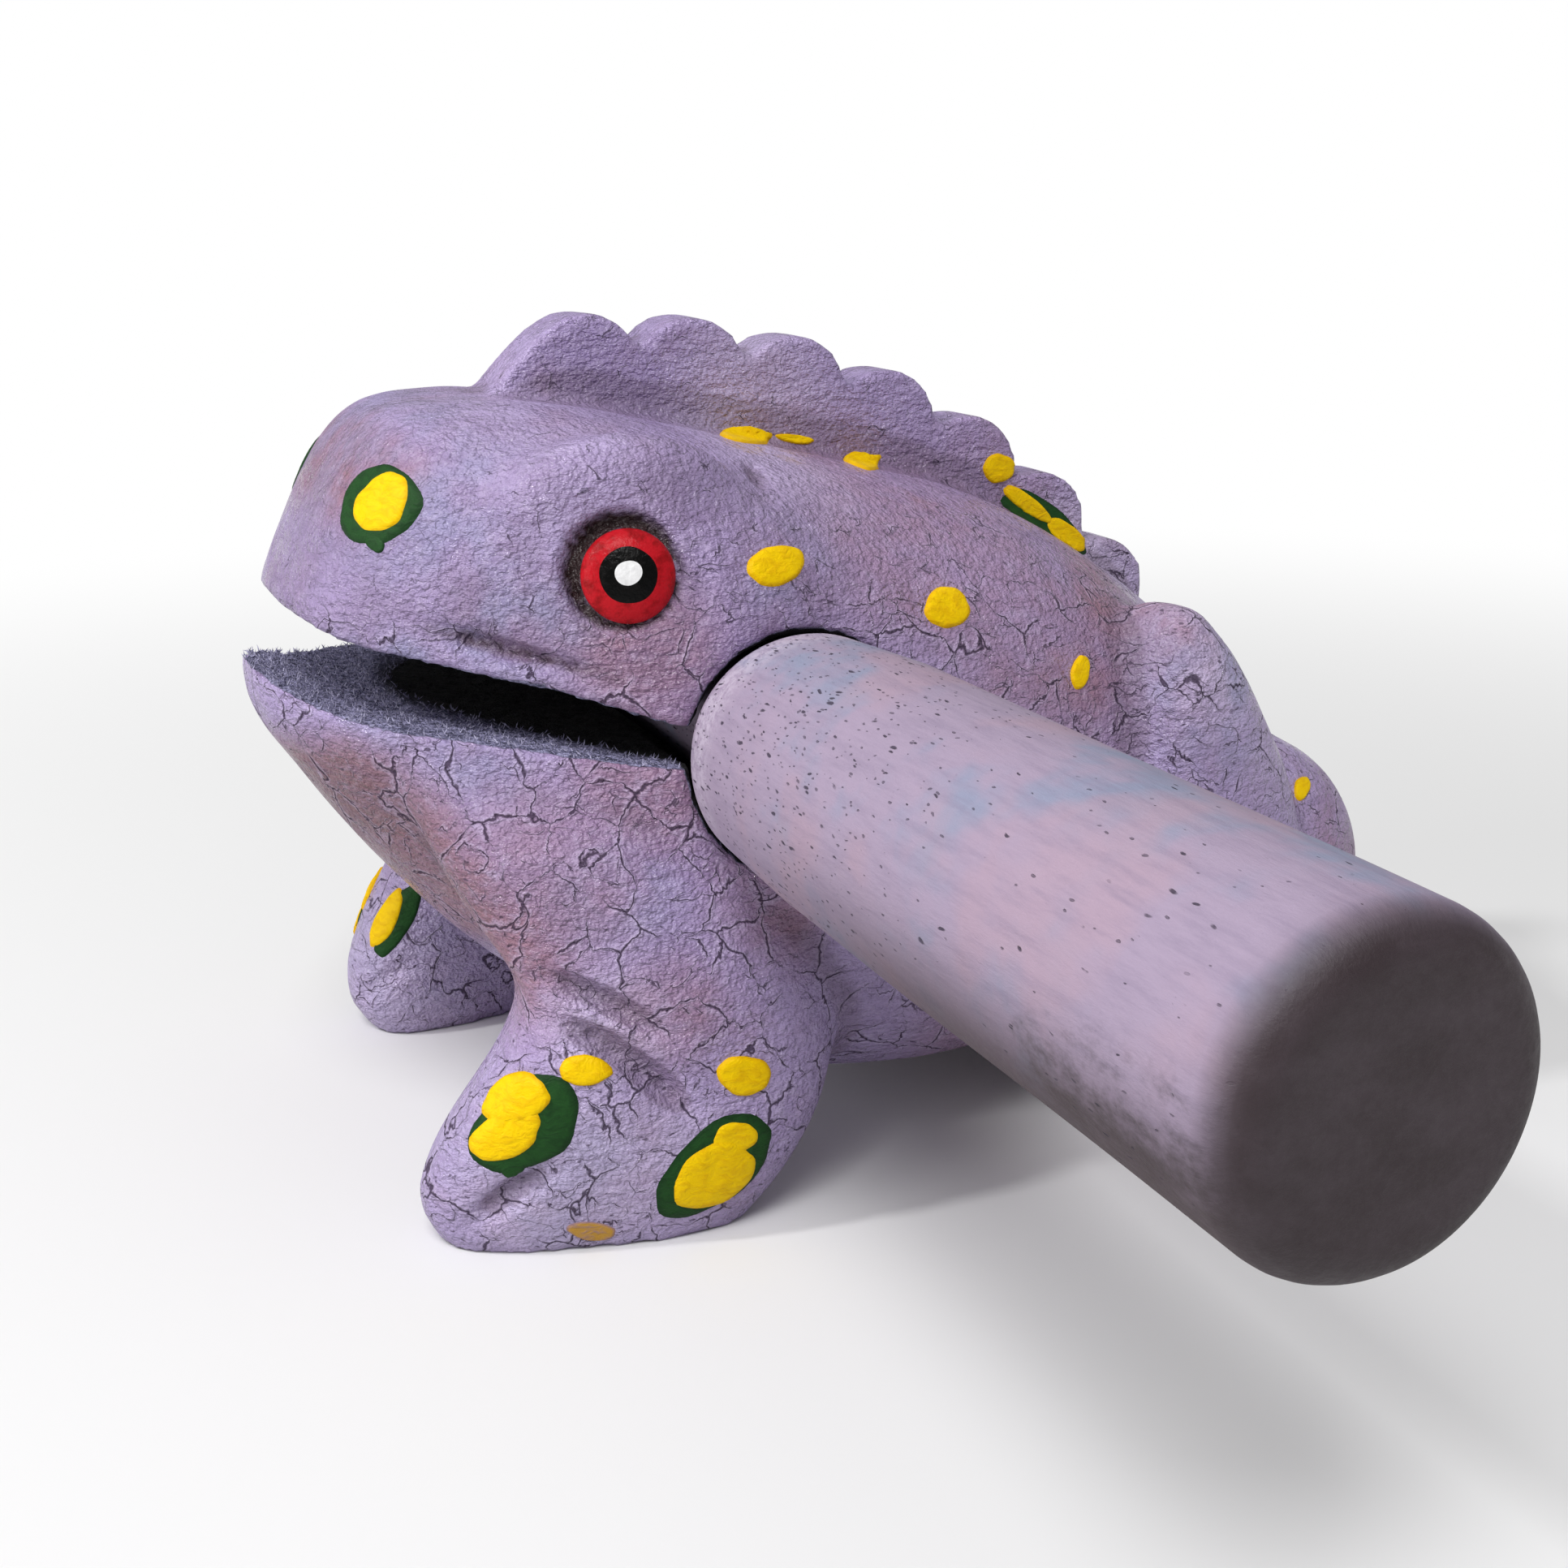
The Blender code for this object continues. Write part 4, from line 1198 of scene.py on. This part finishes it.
def close_end(mesh, tip, count):
    """Closes the hidden end of a sheet of rings on one point."""
    bm = bmesh.new()
    bm.from_mesh(mesh)
    bm.verts.ensure_lookup_table()
    ring = bm.verts[len(bm.verts) - count :]
    point = bm.verts.new(tip)
    for j in range(count):
        bm.faces.new((ring[j], point, ring[(j + 1) % count])).smooth = True
    bm.to_mesh(mesh)
    bm.free()


def add_light(name, place, size, power):
    data = bpy.data.lights.new(name, "AREA")
    data.size = size
    data.energy = power
    light = bpy.data.objects.new(name, data)
    bpy.context.scene.collection.objects.link(light)
    light.location = place
    aim = LIGHT_AIM - light.location
    light.rotation_euler = aim.to_track_quat("-Z", "Y").to_euler()


def floor_paper():
    """Pale paper that runs out to white, and keeps the object's shadow."""
    n = Nodes("floor_paper")
    place = n.add("ShaderNodeTexCoord").outputs["Object"]
    away = n.add("ShaderNodeVectorMath", {0: place}, operation="LENGTH").outputs["Value"]
    far = n.ramp(away, *FLOOR_FADE)
    path = n.add("ShaderNodeLightPath")
    seen = n.math("MAXIMUM", path.outputs["Is Camera Ray"], path.outputs["Is Glossy Ray"])
    glow = n.add("ShaderNodeEmission", {"Color": (1, 1, 1), "Strength": 1.0})
    paper = n.mix(path.outputs["Is Camera Ray"], FLOOR_BOUNCE, FLOOR)
    n.finish(Base_Color=paper, Roughness=FLOOR_ROUGH)
    both = n.add(
        "ShaderNodeMixShader",
        {0: n.math("MULTIPLY", far, seen), 1: n.shader.outputs[0], 2: glow.outputs[0]},
    )
    n.tree.links.new(both.outputs[0], n.tree.nodes["Material Output"].inputs["Surface"])
    return n.material


def surround():
    """A world that the camera sees as white, and that lights the object less from below."""
    world = bpy.data.worlds.new("surround")
    world.use_nodes = True
    tree = world.node_tree
    background = tree.nodes["Background"]
    path = tree.nodes.new("ShaderNodeLightPath")
    shown = tree.nodes.new("ShaderNodeMath")
    shown.operation = "MAXIMUM"
    sky = tree.nodes.new("ShaderNodeMapRange")
    split = tree.nodes.new("ShaderNodeSeparateXYZ")
    coordinates = tree.nodes.new("ShaderNodeTexCoord")
    tree.links.new(coordinates.outputs["Generated"], split.inputs[0])
    tree.links.new(split.outputs["Z"], sky.inputs["Value"])
    sky.inputs["To Min"].default_value = SKY_LOW
    sky.inputs["To Max"].default_value = SKY_HIGH
    level = tree.nodes.new("ShaderNodeMapRange")
    tree.links.new(path.outputs["Is Camera Ray"], shown.inputs[0])
    tree.links.new(path.outputs["Is Transmission Ray"], shown.inputs[1])
    tree.links.new(shown.outputs[0], level.inputs["Value"])
    tree.links.new(sky.outputs[0], level.inputs["To Min"])
    level.inputs["To Max"].default_value = 1.0
    tree.links.new(level.outputs[0], background.inputs["Strength"])
    background.inputs["Color"].default_value = (1, 1, 1, 1)
    return world


def stage():
    """A pale floor, soft light and a white surround."""
    mesh = bpy.data.meshes.new("floor")
    corners = [(-1, -1), (1, -1), (1, 1), (-1, 1)]
    mesh.from_pydata([(FLOOR_HALF * x, FLOOR_HALF * y, 0) for x, y in corners], [], [(0, 1, 2, 3)])
    floor = link("floor", mesh)
    mesh.materials.append(floor_paper())
    for name, place, size, power in LIGHTS:
        add_light(name, place, size, power)
    bpy.context.scene.world = surround()
    bpy.context.scene.view_settings.view_transform = "Standard"


def main():
    add_camera()
    stage()
    skin, points, edges, degree = fine_skin(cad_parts["frog_body"])
    cut_sockets(skin, points, edges, degree)
    cut_creases(skin, points)
    masks = paint_masks(skin, points, edges, degree)
    points = carve_relief(skin, points, masks)
    skin.data.materials.clear()
    skin.data.materials.append(crackle_paint())
    skin.data.shade_smooth()
    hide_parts("frog_body")
    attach(skin, "root")
    print("skin triangles", sum(len(f.vertices) - 2 for f in skin.data.polygons))

    striker_piece(striker_wood())
    eye_paints = [
        eye_paint("eye_white", WHITE, DULL_WHITE),
        eye_paint("eye_black", BLACK, WORN_BLACK),
        eye_paint("eye_red", RED, DARK_RED),
        eye_paint("eye_rim", EYE_RIM, EYE_RIM_DARK),
    ]
    for side, (centre, axis) in EYES.items():
        eye(side, centre, axis, eye_paints)
    lip_fibres(skin, points, masks, fibre_paint())

    tree = BVHTree.FromObject(skin, bpy.context.evaluated_depsgraph_get())
    sets = (
        ("green", GREEN_DABS, dab_paint("green_dab", GREEN, DARK_GREEN, 0.40)),
        ("yellow", YELLOW_DABS, dab_paint("yellow_dab", YELLOW, OCHRE, 0.38)),
        ("worn", WORN_DABS, dab_paint("worn_dab", THIN_OCHRE, MAUVE, 0.45)),
    )
    for label, specs, material in sets:
        for i, spec in enumerate(specs):
            dab(f"{label}_dab_{i:02d}", tree, spec, material, False)
            if spec[0] not in ONE_SIDE_ONLY:
                dab(f"{label}_dab_far_{i:02d}", tree, spec, material, True)


main()
